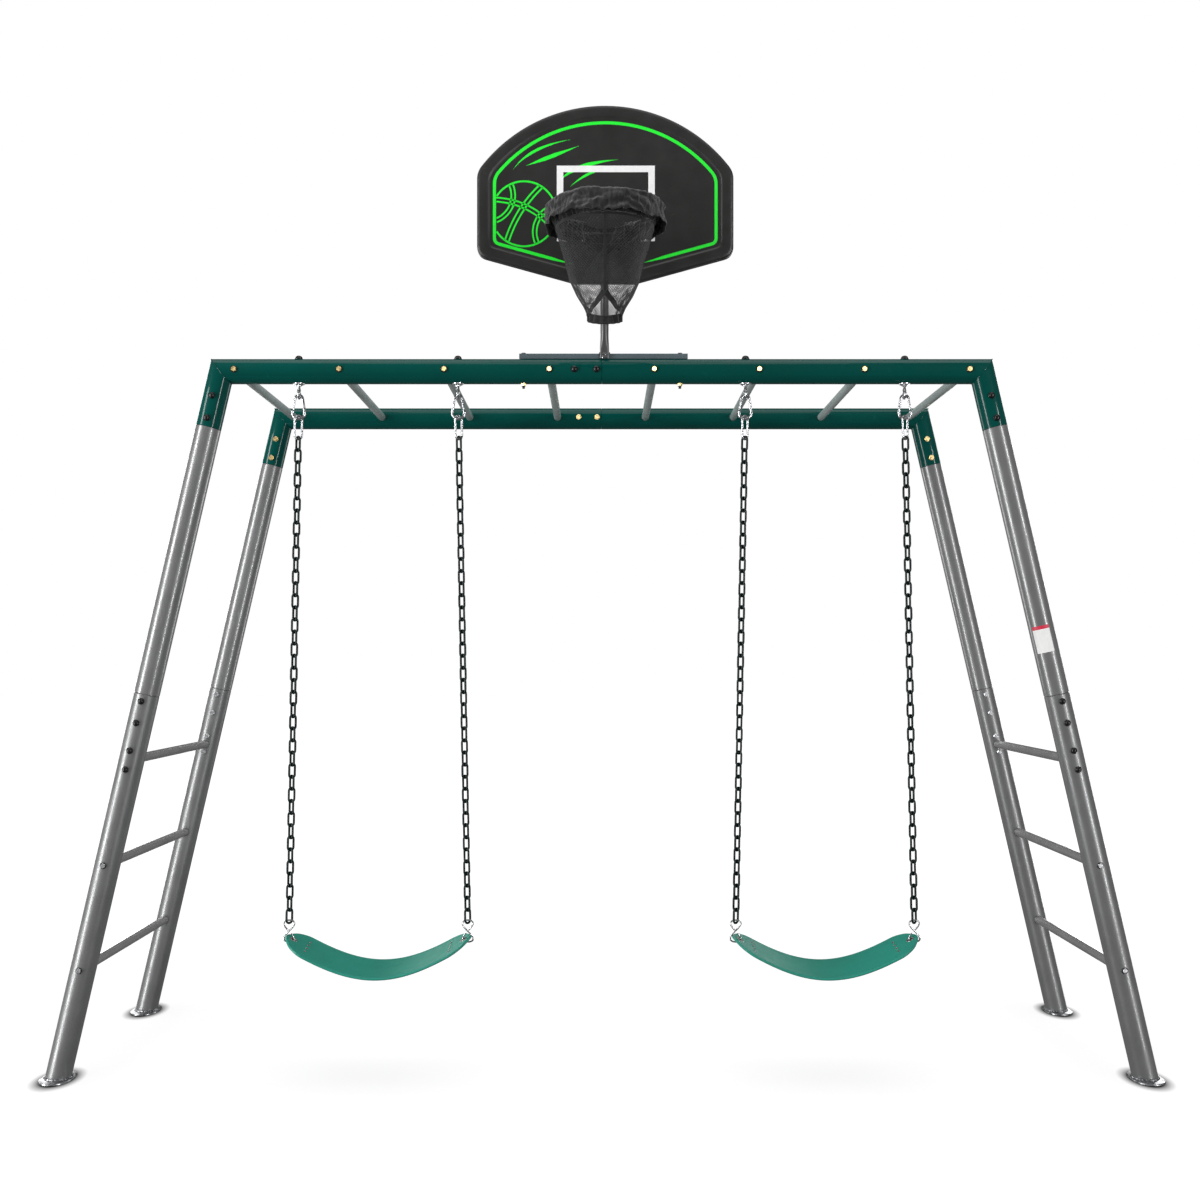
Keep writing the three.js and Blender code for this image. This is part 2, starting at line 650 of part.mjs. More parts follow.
function hangingLine(side, way) {
  const line = new THREE.Group();
  const reach = S_TOP + S_HALF_HEIGHT;
  line.position.set(hangerX(side, way), FRONT_Y, EYE_HEIGHT);
  line.rotation.y = -side * way * Math.asin(CHAIN_SPREAD / reach);
  swingSet.add(line);
  const name = `${side < 0 ? 'left' : 'right'}_${way > 0 ? 'outer' : 'inner'}`;
  const flip = new THREE.Group();
  flip.rotation.z = side * way > 0 ? 0 : Math.PI;
  line.add(flip);
  addMesh(`${name}_snap_hook`, snapHook(), 'zinc', flip);
  addMesh(`${name}_snap_gate`, snapGate(), 'zinc', flip);
  addMesh(`${name}_top_link`, topLink(), 'zinc', line);
  addMesh(`${name}_chain`, chain(), 'chainCoat', line);
  addMesh(`${name}_s_hook`, sHook(), 'zinc', flip);
  const bolt = addMesh(`${name}_eye_bolt`, eyeBolt(), 'zinc');
  bolt.position.copy(line.position);
}

function seatWidthAt(x) {
  const fromTip = SEAT_HALF_SPAN - Math.abs(x);
  const part = Math.min(fromTip / SEAT_TAPER, 1);
  return SEAT_NOSE + (SEAT_WIDTH - SEAT_NOSE) * Math.sin(part * Math.PI / 2);
}

// A belt that hangs in a shallow U with its front edge a little low; its ends taper to a nose
// with a hole for the S-hook.
function seatBelt(side) {
  const length = 2 * SEAT_HALF_SPAN;
  const belt = new THREE.BoxGeometry(length, SEAT_WIDTH, SEAT_THICKNESS, SEAT_SEGMENTS, 2, 1);
  const place = belt.attributes.position;
  const phase = Math.PI / 2 / SEAT_HALF_SPAN;
  const height = (x) => SEAT_TIP_HEIGHT - SEAT_SAG * Math.cos(x * phase);
  const slope = (x) => SEAT_SAG * phase * Math.sin(x * phase);
  for (let i = 0; i < place.count; i += 1) {
    const x = place.getX(i);
    const tilt = Math.atan(slope(x));
    const lift = place.getZ(i);
    const y = place.getY(i) * seatWidthAt(x) / SEAT_WIDTH;
    place.setXYZ(i, x - lift * Math.sin(tilt), y, height(x) + lift * Math.cos(tilt));
  }
  const holes = [-1, 1].map((end) => {
    const x = end * (SEAT_HALF_SPAN - SEAT_HOLE_INSET);
    const hole = new THREE.CylinderGeometry(SEAT_HOLE_RADIUS, SEAT_HOLE_RADIUS, SEAT_HOLE_LENGTH, 12);
    return hole.rotateX(Math.PI / 2).rotateY(-Math.atan(slope(x))).translate(x, 0, height(x));
  });
  const seat = cut(belt, ...holes).translate(0, 0, -SEAT_PIVOT_HEIGHT).rotateX(SEAT_PITCH);
  return seat.translate(side * SWING_CENTER, FRONT_Y, SEAT_PIVOT_HEIGHT);
}

// Assembly

for (const [row, y] of [['front', FRONT_Y], ['rear', REAR_Y]]) {
  for (const [hand, side] of [['left', -1], ['right', 1]]) {
    addMesh(`${row}_beam_${hand}`, beamHalf(side, y), 'greenPaint');
    addMesh(`${row}_${hand}_upper_leg`, upperLeg(side, y), 'greyPaint');
    addMesh(`${row}_${hand}_lower_leg`, lowerLeg(side, y), 'greyPaint');
  }
}

for (const [hand, side] of [['left', -1], ['right', 1]]) {
  LADDER_HEIGHTS.forEach((height, index) => {
    const rod = rung(LADDER_RADIUS, legX(side, height), height);
    addMesh(`${hand}_ladder_rung_${index + 1}`, rod, 'rungPaint');
  });
  addMesh(`bar_bolt_${hand}`, barBolt(side), 'zinc');
  hangingLine(side, 1);
  hangingLine(side, -1);
  addMesh(`${hand}_swing_seat`, seatBelt(side), 'seatRubber');
}

for (let i = 0; i < MONKEY_COUNT; i += 1) {
  addMesh(`monkey_rung_${i + 1}`, rung(MONKEY_RADIUS, monkeyX(i), BEAM_HEIGHT), 'rungPaint');
}

addMesh('hoop_bracket_bar', bracketBar(), 'barPaint');
addMesh('hoop_pole', pole(), 'polePaint');
addMesh('backboard', backboard(), 'boardPlastic');
addMesh('hoop_rim', hoopRim(), 'zinc');
addMesh('rim_sleeve', rimSleeve(), 'cloth');
addMesh('hoop_net', hoopNet(), 'cloth');

export default swingSet;
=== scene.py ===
import random
from math import acos, asin, atan, atan2, copysign, cos, hypot, pi, radians, sin, sqrt, tan, tau

import bmesh
import bpy
from mathutils import Matrix, Vector, noise


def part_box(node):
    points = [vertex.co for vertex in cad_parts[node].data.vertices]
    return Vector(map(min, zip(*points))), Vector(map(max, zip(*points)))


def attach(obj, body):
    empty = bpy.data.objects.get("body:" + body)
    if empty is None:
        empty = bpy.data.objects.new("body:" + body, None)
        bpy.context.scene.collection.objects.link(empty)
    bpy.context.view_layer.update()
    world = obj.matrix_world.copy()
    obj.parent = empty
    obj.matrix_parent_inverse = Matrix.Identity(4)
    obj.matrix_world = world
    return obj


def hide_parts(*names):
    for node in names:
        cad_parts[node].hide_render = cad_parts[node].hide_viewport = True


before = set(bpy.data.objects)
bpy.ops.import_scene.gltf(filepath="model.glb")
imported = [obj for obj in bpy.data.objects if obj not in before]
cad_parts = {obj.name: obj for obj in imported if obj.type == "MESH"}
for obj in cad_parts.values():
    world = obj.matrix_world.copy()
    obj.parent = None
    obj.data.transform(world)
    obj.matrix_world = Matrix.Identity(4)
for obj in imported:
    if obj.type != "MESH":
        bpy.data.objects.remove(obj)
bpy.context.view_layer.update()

# Outdoor play frame with two belt swings and a small hoop. Metres, +Z up, the hoop faces -Y.

SIDES = ((-1, "left"), (1, "right"))
X_AXIS, Y_AXIS, Z_AXIS = Vector((1, 0, 0)), Vector((0, 1, 0)), Vector((0, 0, 1))
FRONT, BACK, UP, DOWN = -Y_AXIS, Y_AXIS, Z_AXIS, -Z_AXIS


def middle(node):
    low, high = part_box(node)
    return (low + high) / 2


# ---------------------------------------------------------------- frame sizes
BEAM_LOW, BEAM_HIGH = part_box("front_beam_left")
TUBE_R = (BEAM_HIGH.y - BEAM_LOW.y) / 2
TUBE_WALL = 0.002
EDGE = 0.0008
GAP = 0.0003
SEAM = 0.0016
SPIGOT_R = TUBE_R - TUBE_WALL - 0.00035
FRONT_Y = middle("front_beam_left").y
REAR_Y = middle("rear_beam_left").y
MIDDLE_Y = (FRONT_Y + REAR_Y) / 2
BEAM_Z = BEAM_HIGH.z - TUBE_R
PLATE_SIZE = (0.089, 0.133, 0.006)
FOOT_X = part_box("front_right_lower_leg")[1].x - PLATE_SIZE[0] / 2
CORNER_X = 1.095
LEG_TILT = atan((FOOT_X - CORNER_X) / BEAM_Z)
ELBOW = 0.166
SPIGOT = 0.110
SLEEVE_ROOT = 0.03
BORE_STEP = 0.004
BEAM_SLEEVE = -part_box("front_beam_right")[0].x
LEG_SEAM_Z = 1.109
RUNG_WALL = 0.0018
LADDER_Z = [middle(f"left_ladder_rung_{i}").z for i in (1, 2, 3)]
MONKEY_X = [middle(f"monkey_rung_{i}").x for i in range(1, 9)]
MONKEY_R = (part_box("monkey_rung_1")[1].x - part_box("monkey_rung_1")[0].x) / 2
LADDER_R = (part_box("left_ladder_rung_1")[1].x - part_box("left_ladder_rung_1")[0].x) / 2


# ---------------------------------------------------------------- mesh helpers
def loft(bm, rings, loop=False):
    """Joins rings of points, in order, into a skin; loop joins the last to the first."""
    rows = [[bm.verts.new(p) for p in ring] for ring in rings]
    pairs = list(zip(rows, rows[1:]))
    if loop:
        pairs.append((rows[-1], rows[0]))
    for a, b in pairs:
        n = len(a)
        for i in range(n):
            bm.faces.new((a[i], a[(i + 1) % n], b[(i + 1) % n], b[i]))
    if not loop:
        bm.faces.new(list(reversed(rows[0])))
        bm.faces.new(rows[-1])


def circle(place, first, second, radius, sides):
    steps = [tau * i / sides for i in range(sides)]
    return [place + first * (cos(a) * radius) + second * (sin(a) * radius) for a in steps]


def racetrack(radius, half, steps):
    """Two half circles joined by straights, each centre at half from the middle, as (u, v)."""
    outline = []
    for way, start in ((1, 0), (-1, pi)):
        for i in range(steps + 1):
            a = pi * i / steps + start
            outline.append((radius * cos(a), way * half + radius * sin(a)))
    return outline


def neighbours(points, i, loop):
    """The points before and after one; at an open end it stands in for the missing one."""
    count = len(points)
    before = points[i - 1] if (i > 0 or loop) else points[i]
    after = points[(i + 1) % count] if (i < count - 1 or loop) else points[i]
    return before, after


def sweep(bm, points, radius, sides=12, loop=False):
    """A round bar along points; radius is one number or one for each point."""
    count = len(points)
    radii = radius if hasattr(radius, "__len__") else [radius] * count
    tangents = []
    for i in range(count):
        before, after = neighbours(points, i, loop)
        tangents.append((after - before).normalized())
    normal = tangents[0].orthogonal().normalized()
    frames = []
    for i, tangent in enumerate(tangents):
        if i:
            normal = tangents[i - 1].rotation_difference(tangent) @ normal
        normal = (normal - tangent * normal.dot(tangent)).normalized()
        frames.append((normal.copy(), tangent.cross(normal)))
    if loop:
        carried = tangents[-1].rotation_difference(tangents[0]) @ frames[-1][0]
        error = atan2(carried.dot(frames[0][1]), carried.dot(frames[0][0]))
        for i, tangent in enumerate(tangents):
            turn = Matrix.Rotation(-error * i / count, 3, tangent)
            frames[i] = (turn @ frames[i][0], turn @ frames[i][1])
    loft(bm, [circle(p, f[0], f[1], r, sides) for p, f, r in zip(points, frames, radii)], loop=loop)


def ribbon(bm, points, faces_to, width, thick, loop=False):
    """A flat strap along points; faces_to gives the direction its face looks at each point."""
    half, edge = width / 2, thick * 0.35
    outline = [(-half, 0), (-half + edge, thick / 2), (half - edge, thick / 2), (half, 0),
               (half - edge, -thick / 2), (-half + edge, -thick / 2)]
    rings = []
    for i, point in enumerate(points):
        before, after = neighbours(points, i, loop)
        tangent = (after - before).normalized()
        face = (faces_to[i] - tangent * faces_to[i].dot(tangent)).normalized()
        across = tangent.cross(face)
        rings.append([point + across * u + face * v for u, v in outline])
    loft(bm, rings, loop=loop)


def revolve(bm, profile, place=Matrix.Identity(4), sides=24):
    """Turns (radius, height[, hexagon share]) points round local Z; ends on the axis close it."""
    rows = []
    for entry in profile:
        radius, height = entry[0], entry[1]
        hexed = entry[2] if len(entry) > 2 else 0
        if radius < 1e-7:
            rows.append([bm.verts.new(place @ Vector((0, 0, height)))])
            continue
        row = []
        for i in range(sides):
            a = tau * i / sides
            flat = 1 / cos((a + pi / 6) % (pi / 3) - pi / 6)
            reach = radius * (1 + hexed * (flat - 1))
            row.append(bm.verts.new(place @ Vector((reach * cos(a), reach * sin(a), height))))
        rows.append(row)
    closed = len(rows[0]) > 1 and len(rows[-1]) > 1
    pairs = list(zip(rows, rows[1:])) + ([(rows[-1], rows[0])] if closed else [])
    for a, b in pairs:
        for i in range(sides):
            j = (i + 1) % sides
            if len(a) == 1:
                bm.faces.new((a[0], b[j], b[i]))
            elif len(b) == 1:
                bm.faces.new((a[i], a[j], b[0]))
            else:
                bm.faces.new((a[i], a[j], b[j], b[i]))


def facing(place, outward):
    return Matrix.Translation(place) @ outward.to_track_quat("Z", "Y").to_matrix().to_4x4()


FASTENERS = bpy.data.collections.new("front_lit_fasteners")


def make(name, bm, finish, replaced=(), body="frame", sharp=35):
    """Turns a bmesh into a named piece with its material and the body it rides on."""
    slot, material = finish
    bmesh.ops.recalc_face_normals(bm, faces=bm.faces)
    for face in bm.faces:
        face.smooth = True
    for edge in bm.edges:
        if len(edge.link_faces) == 2 and edge.calc_face_angle(0) > radians(sharp):
            edge.smooth = False
    mesh = bpy.data.meshes.new(name)
    bm.to_mesh(mesh)
    bm.free()
    piece = bpy.data.objects.new(name, mesh)
    bpy.context.scene.collection.objects.link(piece)
    mesh.materials.append(material)
    if material.name in ("bright_zinc", "yellow_zinc_plate"):
        FASTENERS.objects.link(piece)
    if replaced:
        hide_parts(*replaced)
    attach(piece, body)
    return piece


def cut_out(piece, tool_bm):
    """Cuts another bmesh out of a piece."""
    bmesh.ops.recalc_face_normals(tool_bm, faces=tool_bm.faces)
    mesh = bpy.data.meshes.new("tool")
    tool_bm.to_mesh(mesh)
    tool_bm.free()
    tool = bpy.data.objects.new("tool", mesh)
    bpy.context.scene.collection.objects.link(tool)
    step = piece.modifiers.new("cut", "BOOLEAN")
    step.operation = "DIFFERENCE"
    step.solver = "EXACT"
    step.object = tool
    bpy.context.view_layer.update()
    done = piece.evaluated_get(bpy.context.evaluated_depsgraph_get())
    old = piece.data
    piece.data = bpy.data.meshes.new_from_object(done)
    piece.data.name = piece.name
    piece.modifiers.clear()
    bpy.data.meshes.remove(old)
    bpy.data.objects.remove(tool)
    bpy.data.meshes.remove(mesh)


# ---------------------------------------------------------------- materials
class Shader:
    """A short way to write a node tree: noise, ramps, mixes and bumps on one Principled shader."""

    def __init__(self, name, **values):
        self.material = bpy.data.materials.new(name)
        self.material.use_nodes = True
        self.tree = self.material.node_tree
        self.base = self.tree.nodes["Principled BSDF"]
        self.coordinates = self.node("ShaderNodeTexCoord").outputs["Object"]
        for key, value in values.items():
            self.base.inputs[key.replace("_", " ")].default_value = value

    def node(self, kind, **settings):
        node = self.tree.nodes.new(kind)
        for key, value in settings.items():
            setattr(node, key, value)
        return node

    def link(self, output, target):
        self.tree.links.new(output, target)

    def texture(self, kind, scale, stretch=(1, 1, 1), **inputs):
        place = self.node("ShaderNodeMapping")
        place.inputs["Scale"].default_value = stretch
        self.link(self.coordinates, place.inputs["Vector"])
        grain = self.node(kind)
        for key, value in {"Scale": scale, **inputs}.items():
            grain.inputs[key].default_value = value
        self.link(place.outputs["Vector"], grain.inputs["Vector"])
        return grain

    def noise(self, scale, detail=3.0, stretch=(1, 1, 1), distortion=0.0):
        grain = self.texture("ShaderNodeTexNoise", scale, stretch, Detail=detail, Distortion=distortion)
        return grain.outputs["Fac"]

    def cells(self, scale):
        return self.texture("ShaderNodeTexVoronoi", scale).outputs["Distance"]

    def wave(self, scale, direction):
        stripes = self.texture("ShaderNodeTexWave", scale)
        stripes.wave_type, stripes.bands_direction = "BANDS", direction
        return stripes.outputs["Fac"]

    def band(self, value, low, high, out_low, out_high):
        """Maps a value from low..high to out_low..out_high."""
        band = self.node("ShaderNodeMapRange")
        ends = {"From Min": low, "From Max": high, "To Min": out_low, "To Max": out_high}
        for key, number in ends.items():
            band.inputs[key].default_value = number
        self.link(value, band.inputs["Value"])
        return band.outputs["Result"]

    def patches(self, scale, detail, low, high):
        """Soft patches that wander between two values."""
        return self.band(self.noise(scale, detail), 0.3, 0.7, low, high)

    def mix(self, share, first, second):
        mixer = self.node("ShaderNodeMix", data_type="RGBA")
        self.link(share, mixer.inputs["Factor"])
        for socket, value in ((mixer.inputs["A"], first), (mixer.inputs["B"], second)):
            if hasattr(value, "__len__"):
                socket.default_value = (*value, 1)
            else:
                self.link(value, socket)
        return mixer.outputs["Result"]

    def combine(self, operation, first, second):
        sum_node = self.node("ShaderNodeMath", operation=operation)
        for socket, value in zip(sum_node.inputs, (first, second)):
            if isinstance(value, (int, float)):
                socket.default_value = value
            else:
                self.link(value, socket)
        return sum_node.outputs["Value"]

    def color(self, output):
        self.link(output, self.base.inputs["Base Color"])

    def roughness(self, output):
        self.link(output, self.base.inputs["Roughness"])

    def bump(self, height, distance, strength=1.0):
        """Adds a bump; a second one lies on top of the first."""
        bump = self.node("ShaderNodeBump")
        bump.inputs["Strength"].default_value = strength
        bump.inputs["Distance"].default_value = distance
        self.link(height, bump.inputs["Height"])
        socket = self.base.inputs["Normal"]
        if socket.is_linked:
            self.link(socket.links[0].from_socket, bump.inputs["Normal"])
        self.link(bump.outputs["Normal"], socket)


def tinted(color, factor):
    return tuple(min(1.0, c * factor) for c in color)


FINE_PEEL = 0.00004


def powder_coat(name, color, rough, metallic, coat, flakes=0.0, peel=FINE_PEEL, specular=0.5):
    """Sprayed and baked paint: fine orange peel, faint mottling, dust, scuffs and metal flakes."""
    paint = Shader(name, Metallic=metallic, Coat_Weight=coat, Coat_Roughness=0.06,
                   Specular_IOR_Level=specular)
    shade = paint.mix(paint.noise(5, 4), tinted(color, 0.86), tinted(color, 1.14))
    if flakes:
        flake = paint.band(paint.noise(1500, 1), 0.52, 0.7, 0, flakes)
        shade = paint.mix(flake, shade, tinted(color, 1.9))
        pit = paint.band(paint.noise(900, 1), 0.3, 0.44, flakes, 0)
        shade = paint.mix(pit, shade, tinted(color, 0.45))
    scuff = paint.band(paint.noise(38, 8, (1, 1, 0.25), 1.5), 0.66, 0.74, 0, 0.35)
    shade = paint.mix(scuff, shade, tinted(color, 1.5))
    paint.color(shade)
    worn = paint.patches(14, 6, rough - 0.06, rough + 0.08)
    paint.roughness(paint.combine("ADD", worn, paint.combine("MULTIPLY", scuff, 0.4)))
    paint.bump(paint.noise(420, 2), peel)
    return paint.material


def plated(name, color, rough, dark=0.5):
    """Zinc plate: cloudy spangle, small dark stains and fine drawn lines."""
    metal = Shader(name, Metallic=0.92)
    shade = metal.mix(metal.cells(260), tinted(color, dark + 0.32), color)
    grime = metal.band(metal.noise(90, 5), 0.52, 0.72, 0, 0.25)
    metal.color(metal.mix(grime, shade, tinted(color, dark)))
    metal.roughness(metal.patches(160, 4, rough - 0.07, rough + 0.1))
    metal.bump(metal.noise(700, 3, (1, 1, 0.2)), 0.00003)
    return metal.material


def galvanised(name):
    """Hot-dipped plate with brushed, blotchy zinc and dark spots of rough spatter."""
    metal = Shader(name, Metallic=0.9)
    shade = metal.mix(metal.cells(110), (0.16, 0.165, 0.17), (0.42, 0.43, 0.44))
    spots = metal.band(metal.noise(60, 6), 0.5, 0.65, 0, 0.7)
    metal.color(metal.mix(spots, shade, (0.07, 0.07, 0.072)))
    metal.roughness(metal.patches(45, 5, 0.22, 0.5))
    metal.bump(metal.noise(120, 5), 0.0006, 0.6)
    return metal.material


def moulded(name, color, rough, grain, depth):
    """Moulded plastic or rubber with a leathery grain, scuffs and patches of dust."""
    plastic = Shader(name, Specular_IOR_Level=0.4)
    shade = plastic.mix(plastic.noise(6, 5), tinted(color, 0.8), tinted(color, 1.2))
    dust = plastic.band(plastic.noise(grain * 0.5, 4), 0.55, 0.8, 0, 0.22)
    shade = plastic.mix(dust, shade, tuple(c * 0.8 + 0.022 for c in color))
    scratch = plastic.band(plastic.noise(45, 8, (0.2, 1, 1), 2.0), 0.68, 0.76, 0, 0.3)
    plastic.color(plastic.mix(scratch, shade, tuple(c * 0.9 + 0.045 for c in color)))
    plastic.roughness(plastic.patches(20, 5, rough - 0.08, rough + 0.08))
    plastic.bump(plastic.cells(grain), depth)
    plastic.bump(plastic.noise(grain * 2, 3), depth * 0.5)
    return plastic.material


def printed(name, color):
    """Screen ink: slightly uneven cover with pinholes where the grain shows through."""
    ink = Shader(name, Roughness=0.45)
    cover = ink.mix(ink.noise(60, 4), tinted(color, 0.82), color)
    holes = ink.band(ink.noise(1400, 2), 0.27, 0.36, 0.55, 0)
    ink.color(ink.mix(holes, cover, tinted(color, 0.2)))
    ink.roughness(ink.patches(200, 3, 0.38, 0.58))
    ink.bump(ink.noise(900, 2), 0.00003)
    return ink.material


def woven(name, color, pitch, depth):
    """Woven cloth: crossing yarns at the given pitch, with lint, and lighter patches that are a painted
    sheen on the folds.
    """
    cloth = Shader(name, Sheen_Weight=0.35, Sheen_Roughness=0.5, Specular_IOR_Level=0.2)
    yarns = cloth.combine("MAXIMUM", cloth.wave(pitch, "DIAGONAL"), cloth.wave(pitch, "Z"))
    shade = cloth.mix(yarns, tinted(color, 0.5), tinted(color, 1.6))
    # lighter patches in the colour: a painted sheen, the light caught on the cloth's folds
    painted_fold_sheen = cloth.band(cloth.noise(30, 5), 0.45, 0.75, 0, 0.5)
    cloth.color(cloth.mix(painted_fold_sheen, shade, tuple(c * 2 + 0.006 for c in color)))
    cloth.roughness(cloth.patches(80, 3, 0.75, 0.95))
    cloth.bump(yarns, depth)
    cloth.bump(cloth.noise(220, 4), depth * 1.5)
    return cloth.material


def painted_foot_shadow(floor):
    """Painted contact shadow: dark right round the four foot plates and clear a few centimetres away."""
    spot = floor.node("ShaderNodeSeparateXYZ")
    floor.link(floor.coordinates, spot.inputs[0])
    squares = []
    feet = (("X", 0, FOOT_X, PLATE_SIZE[0] * 0.52),
            ("Y", MIDDLE_Y, MIDDLE_Y - FRONT_Y, PLATE_SIZE[1] * 0.56))
    for axis, center, half, reach in feet:
        offset = floor.combine("ABSOLUTE", floor.combine("SUBTRACT", spot.outputs[axis], center), 0)
        share = floor.combine("DIVIDE", floor.combine("SUBTRACT", offset, half), reach)
        squares.append(floor.combine("POWER", floor.combine("ABSOLUTE", share, 0), 2))
    away = floor.combine("SQRT", floor.combine("ADD", *squares), 0)
    fade = floor.band(away, 0.95, 1.6, 0, 1)
    return floor.combine("POWER", fade, 0.8)


def white_card(name):
    """A card the lens sees as white, with a painted contact shadow under the feet; it bounces little light
    back.
    """
    floor = Shader(name, Roughness=0.9, Specular_IOR_Level=0.05, Emission_Color=(1, 1, 1, 1))
    lens = floor.node("ShaderNodeLightPath").outputs["Is Camera Ray"]
    # shade is the painted contact shadow round the feet; it darkens both the colour and the glow
    shade = painted_foot_shadow(floor)
    card = floor.mix(floor.noise(2, 3), (0.44, 0.44, 0.44), (0.46, 0.46, 0.46))
    # near black colour where the painted shadow is full
    seen = floor.mix(shade, (0.01, 0.01, 0.01), card)
    floor.color(floor.mix(lens, (0.25, 0.25, 0.25), seen))
    distance = floor.node("ShaderNodeVectorMath", operation="LENGTH")
    floor.link(floor.coordinates, distance.inputs[0])
    glow = floor.band(distance.outputs["Value"], 1.5, 5.5, 0.74, 0.9)
    # the glow is dimmed by the painted shadow too, so the shadow shows on the white card
    lift = floor.combine("MULTIPLY", glow, shade)
    floor.link(floor.combine("MULTIPLY", lift, lens), floor.base.inputs["Emission Strength"])
    return floor.material


def paint(slot, name, color, rough, metallic, coat, **more):
    return slot, powder_coat(name, color, rough, metallic, coat, **more)


GREEN = paint("green_paint", "green_powder_coat", (0.0, 0.052, 0.043), 0.3, 0.0, 0.32, specular=0.05)
GREY = paint("grey_paint", "grey_powder_coat", (0.172, 0.173, 0.175), 0.34, 0.35, 0.35, flakes=0.35)
GREY_LOW = paint("grey_paint", "grey_powder_coat_low", (0.168, 0.169, 0.171), 0.38, 0.45, 0.14, flakes=0.5)
RUNG = paint("rung_paint", "rung_powder_coat", (0.46, 0.53, 0.515), 0.26, 0.35, 0.3)
LADDER = paint("rung_paint", "ladder_rung_coat", (0.27, 0.27, 0.272), 0.24, 0.5, 0.3)
BAR = paint("bar_paint", "bar_powder_coat", (0.10, 0.135, 0.15), 0.38, 0.3, 0.1, flakes=0.15)
POLE = paint("pole_paint", "pole_powder_coat", (0.09, 0.09, 0.09), 0.34, 0.5, 0.1, flakes=0.15)
RIM = paint("rim_paint", "rim_powder_coat", (0.02, 0.02, 0.021), 0.4, 0.2, 0.2, flakes=0.1)
CHAIN = paint("chain_coat", "dipped_chain_coat", (0.0006, 0.0085, 0.008), 0.4, 0.0, 0.1,
              peel=0.00015, specular=0.22)
ZINC = ("zinc", plated("bright_zinc", (0.74, 0.75, 0.77), 0.24))
HOOK = ("zinc", plated("hook_zinc", (0.62, 0.63, 0.65), 0.17, 0.3))
GOLD = ("yellow_zinc", plated("yellow_zinc_plate", (1.0, 0.76, 0.36), 0.3))
DARK_STEEL = ("zinc", plated("dark_grommet_steel", (0.3, 0.29, 0.27), 0.35))
GALVANISED = ("zinc", galvanised("galvanised_plate"))
BLACK = ("black_plastic", moulded("black_cap_plastic", (0.006, 0.006, 0.0065), 0.3, 800, 0.00002))
BOARD = ("board_plastic", moulded("board_grain_plastic", (0.021, 0.0205, 0.02), 0.38, 620, 0.00012))
RUBBER = ("seat_rubber", moulded("seat_rubber_grain", (0.006, 0.2, 0.145), 0.5, 900, 0.00008))
INK_GREEN = ("print_green", printed("green_ink", (0.008, 0.92, 0.03)))
INK_WHITE = ("print_white", printed("white_ink", (0.88, 0.88, 0.88)))
LABEL = ("print_white", printed("label_paper", (0.8, 0.8, 0.79)))
LABEL_RED = ("print_white", printed("label_header_ink", (0.6, 0.02, 0.06)))
CLOTH = ("cloth", woven("black_polyester", (0.0075, 0.0075, 0.008), 260, 0.0003))
NET = ("net_mesh", woven("black_net_yarn", (0.014, 0.014, 0.015), 700, 0.0001))


# ---------------------------------------------------------------- frame tubes
def leg_direction(side):
    return Vector((side * sin(LEG_TILT), 0, -cos(LEG_TILT)))


def leg_point(side, y, distance):
    return Vector((side * CORNER_X, y, BEAM_Z)) + leg_direction(side) * distance


def leg_at(side, y, z):
    return leg_point(side, y, (BEAM_Z - z) / cos(LEG_TILT))


def across_of(direction):
    return Vector((direction.z, 0, -direction.x))


def tube(bm, stations):
    """A hollow tube through (place, across, outer, inner) stations."""
    rings = [circle(at, across, Y_AXIS, outer, 64) for at, across, outer, inner in stations]
    rings += [circle(at, across, Y_AXIS, inner, 64) for at, across, outer, inner in reversed(stations)]
    loft(bm, rings, loop=True)


def solid_bar(bm, start, end, radius, sides=32):
    direction = (end - start).normalized()
    first = direction.orthogonal().normalized()
    second = direction.cross(first)
    loft(bm, [circle(start, first, second, radius, sides), circle(end, first, second, radius, sides)])


def inner_side(y):
    return copysign(1, MIDDLE_Y - y)


def rung_cutter(bm, radius, x, y, z):
    solid_bar(bm, Vector((x, y, z)), Vector((x, y + inner_side(y) * TUBE_R * 1.3, z)), radius + 0.0006)


def beam(side, hand, y, row):
    along = Vector((side, 0, 0))
    across, leg_across = across_of(along), across_of(leg_direction(side))
    mitre = (across + leg_across) / (1 + across.dot(leg_across))
    outer, inner = TUBE_R, TUBE_R - TUBE_WALL
    bore = SPIGOT_R - TUBE_WALL
    at = lambda x: Vector((x, y, BEAM_Z))
    if side > 0:
        stops = [(-BEAM_SLEEVE, SPIGOT_R - EDGE, bore), (EDGE - BEAM_SLEEVE, SPIGOT_R, bore),
                 (GAP, SPIGOT_R, bore), (GAP, outer - EDGE, bore), (GAP + EDGE, outer, bore),
                 (SLEEVE_ROOT, outer, bore), (SLEEVE_ROOT + 0.002, outer, inner)]
    else:
        stops = [(-GAP / 2, outer - EDGE, inner), (-GAP / 2 - EDGE, outer, inner)]
    start = [(at(x), across, r, b) for x, r, b in stops]
    end = [(at(side * CORNER_X), mitre, outer, inner),
           (leg_point(side, y, ELBOW - EDGE), leg_across, outer, inner),
           (leg_point(side, y, ELBOW), leg_across, outer - EDGE, inner)]
    bm = bmesh.new()
    tube(bm, start + end)
    piece = make(f"{row}_beam_{hand}_tube", bm, GREEN, [f"{row}_beam_{hand}"])
    holes = bmesh.new()
    for x in MONKEY_X:
        if x * side > 0:
            rung_cutter(holes, MONKEY_R, x, y, BEAM_Z)
    cut_out(piece, holes)
    mitre_bead(side, hand, y, row, mitre)


def mitre_bead(side, hand, y, row, mitre):
    """The dressed weld round the mitred corner, under the paint."""
    bm = bmesh.new()
    ring = circle(Vector((side * CORNER_X, y, BEAM_Z)), mitre, Y_AXIS, TUBE_R, 96)
    sweep(bm, ring, [0.0011 + 0.0003 * noise.noise(p * 90) for p in ring], 8, loop=True)
    make(f"{row}_beam_{hand}_corner_weld", bm, GREEN)


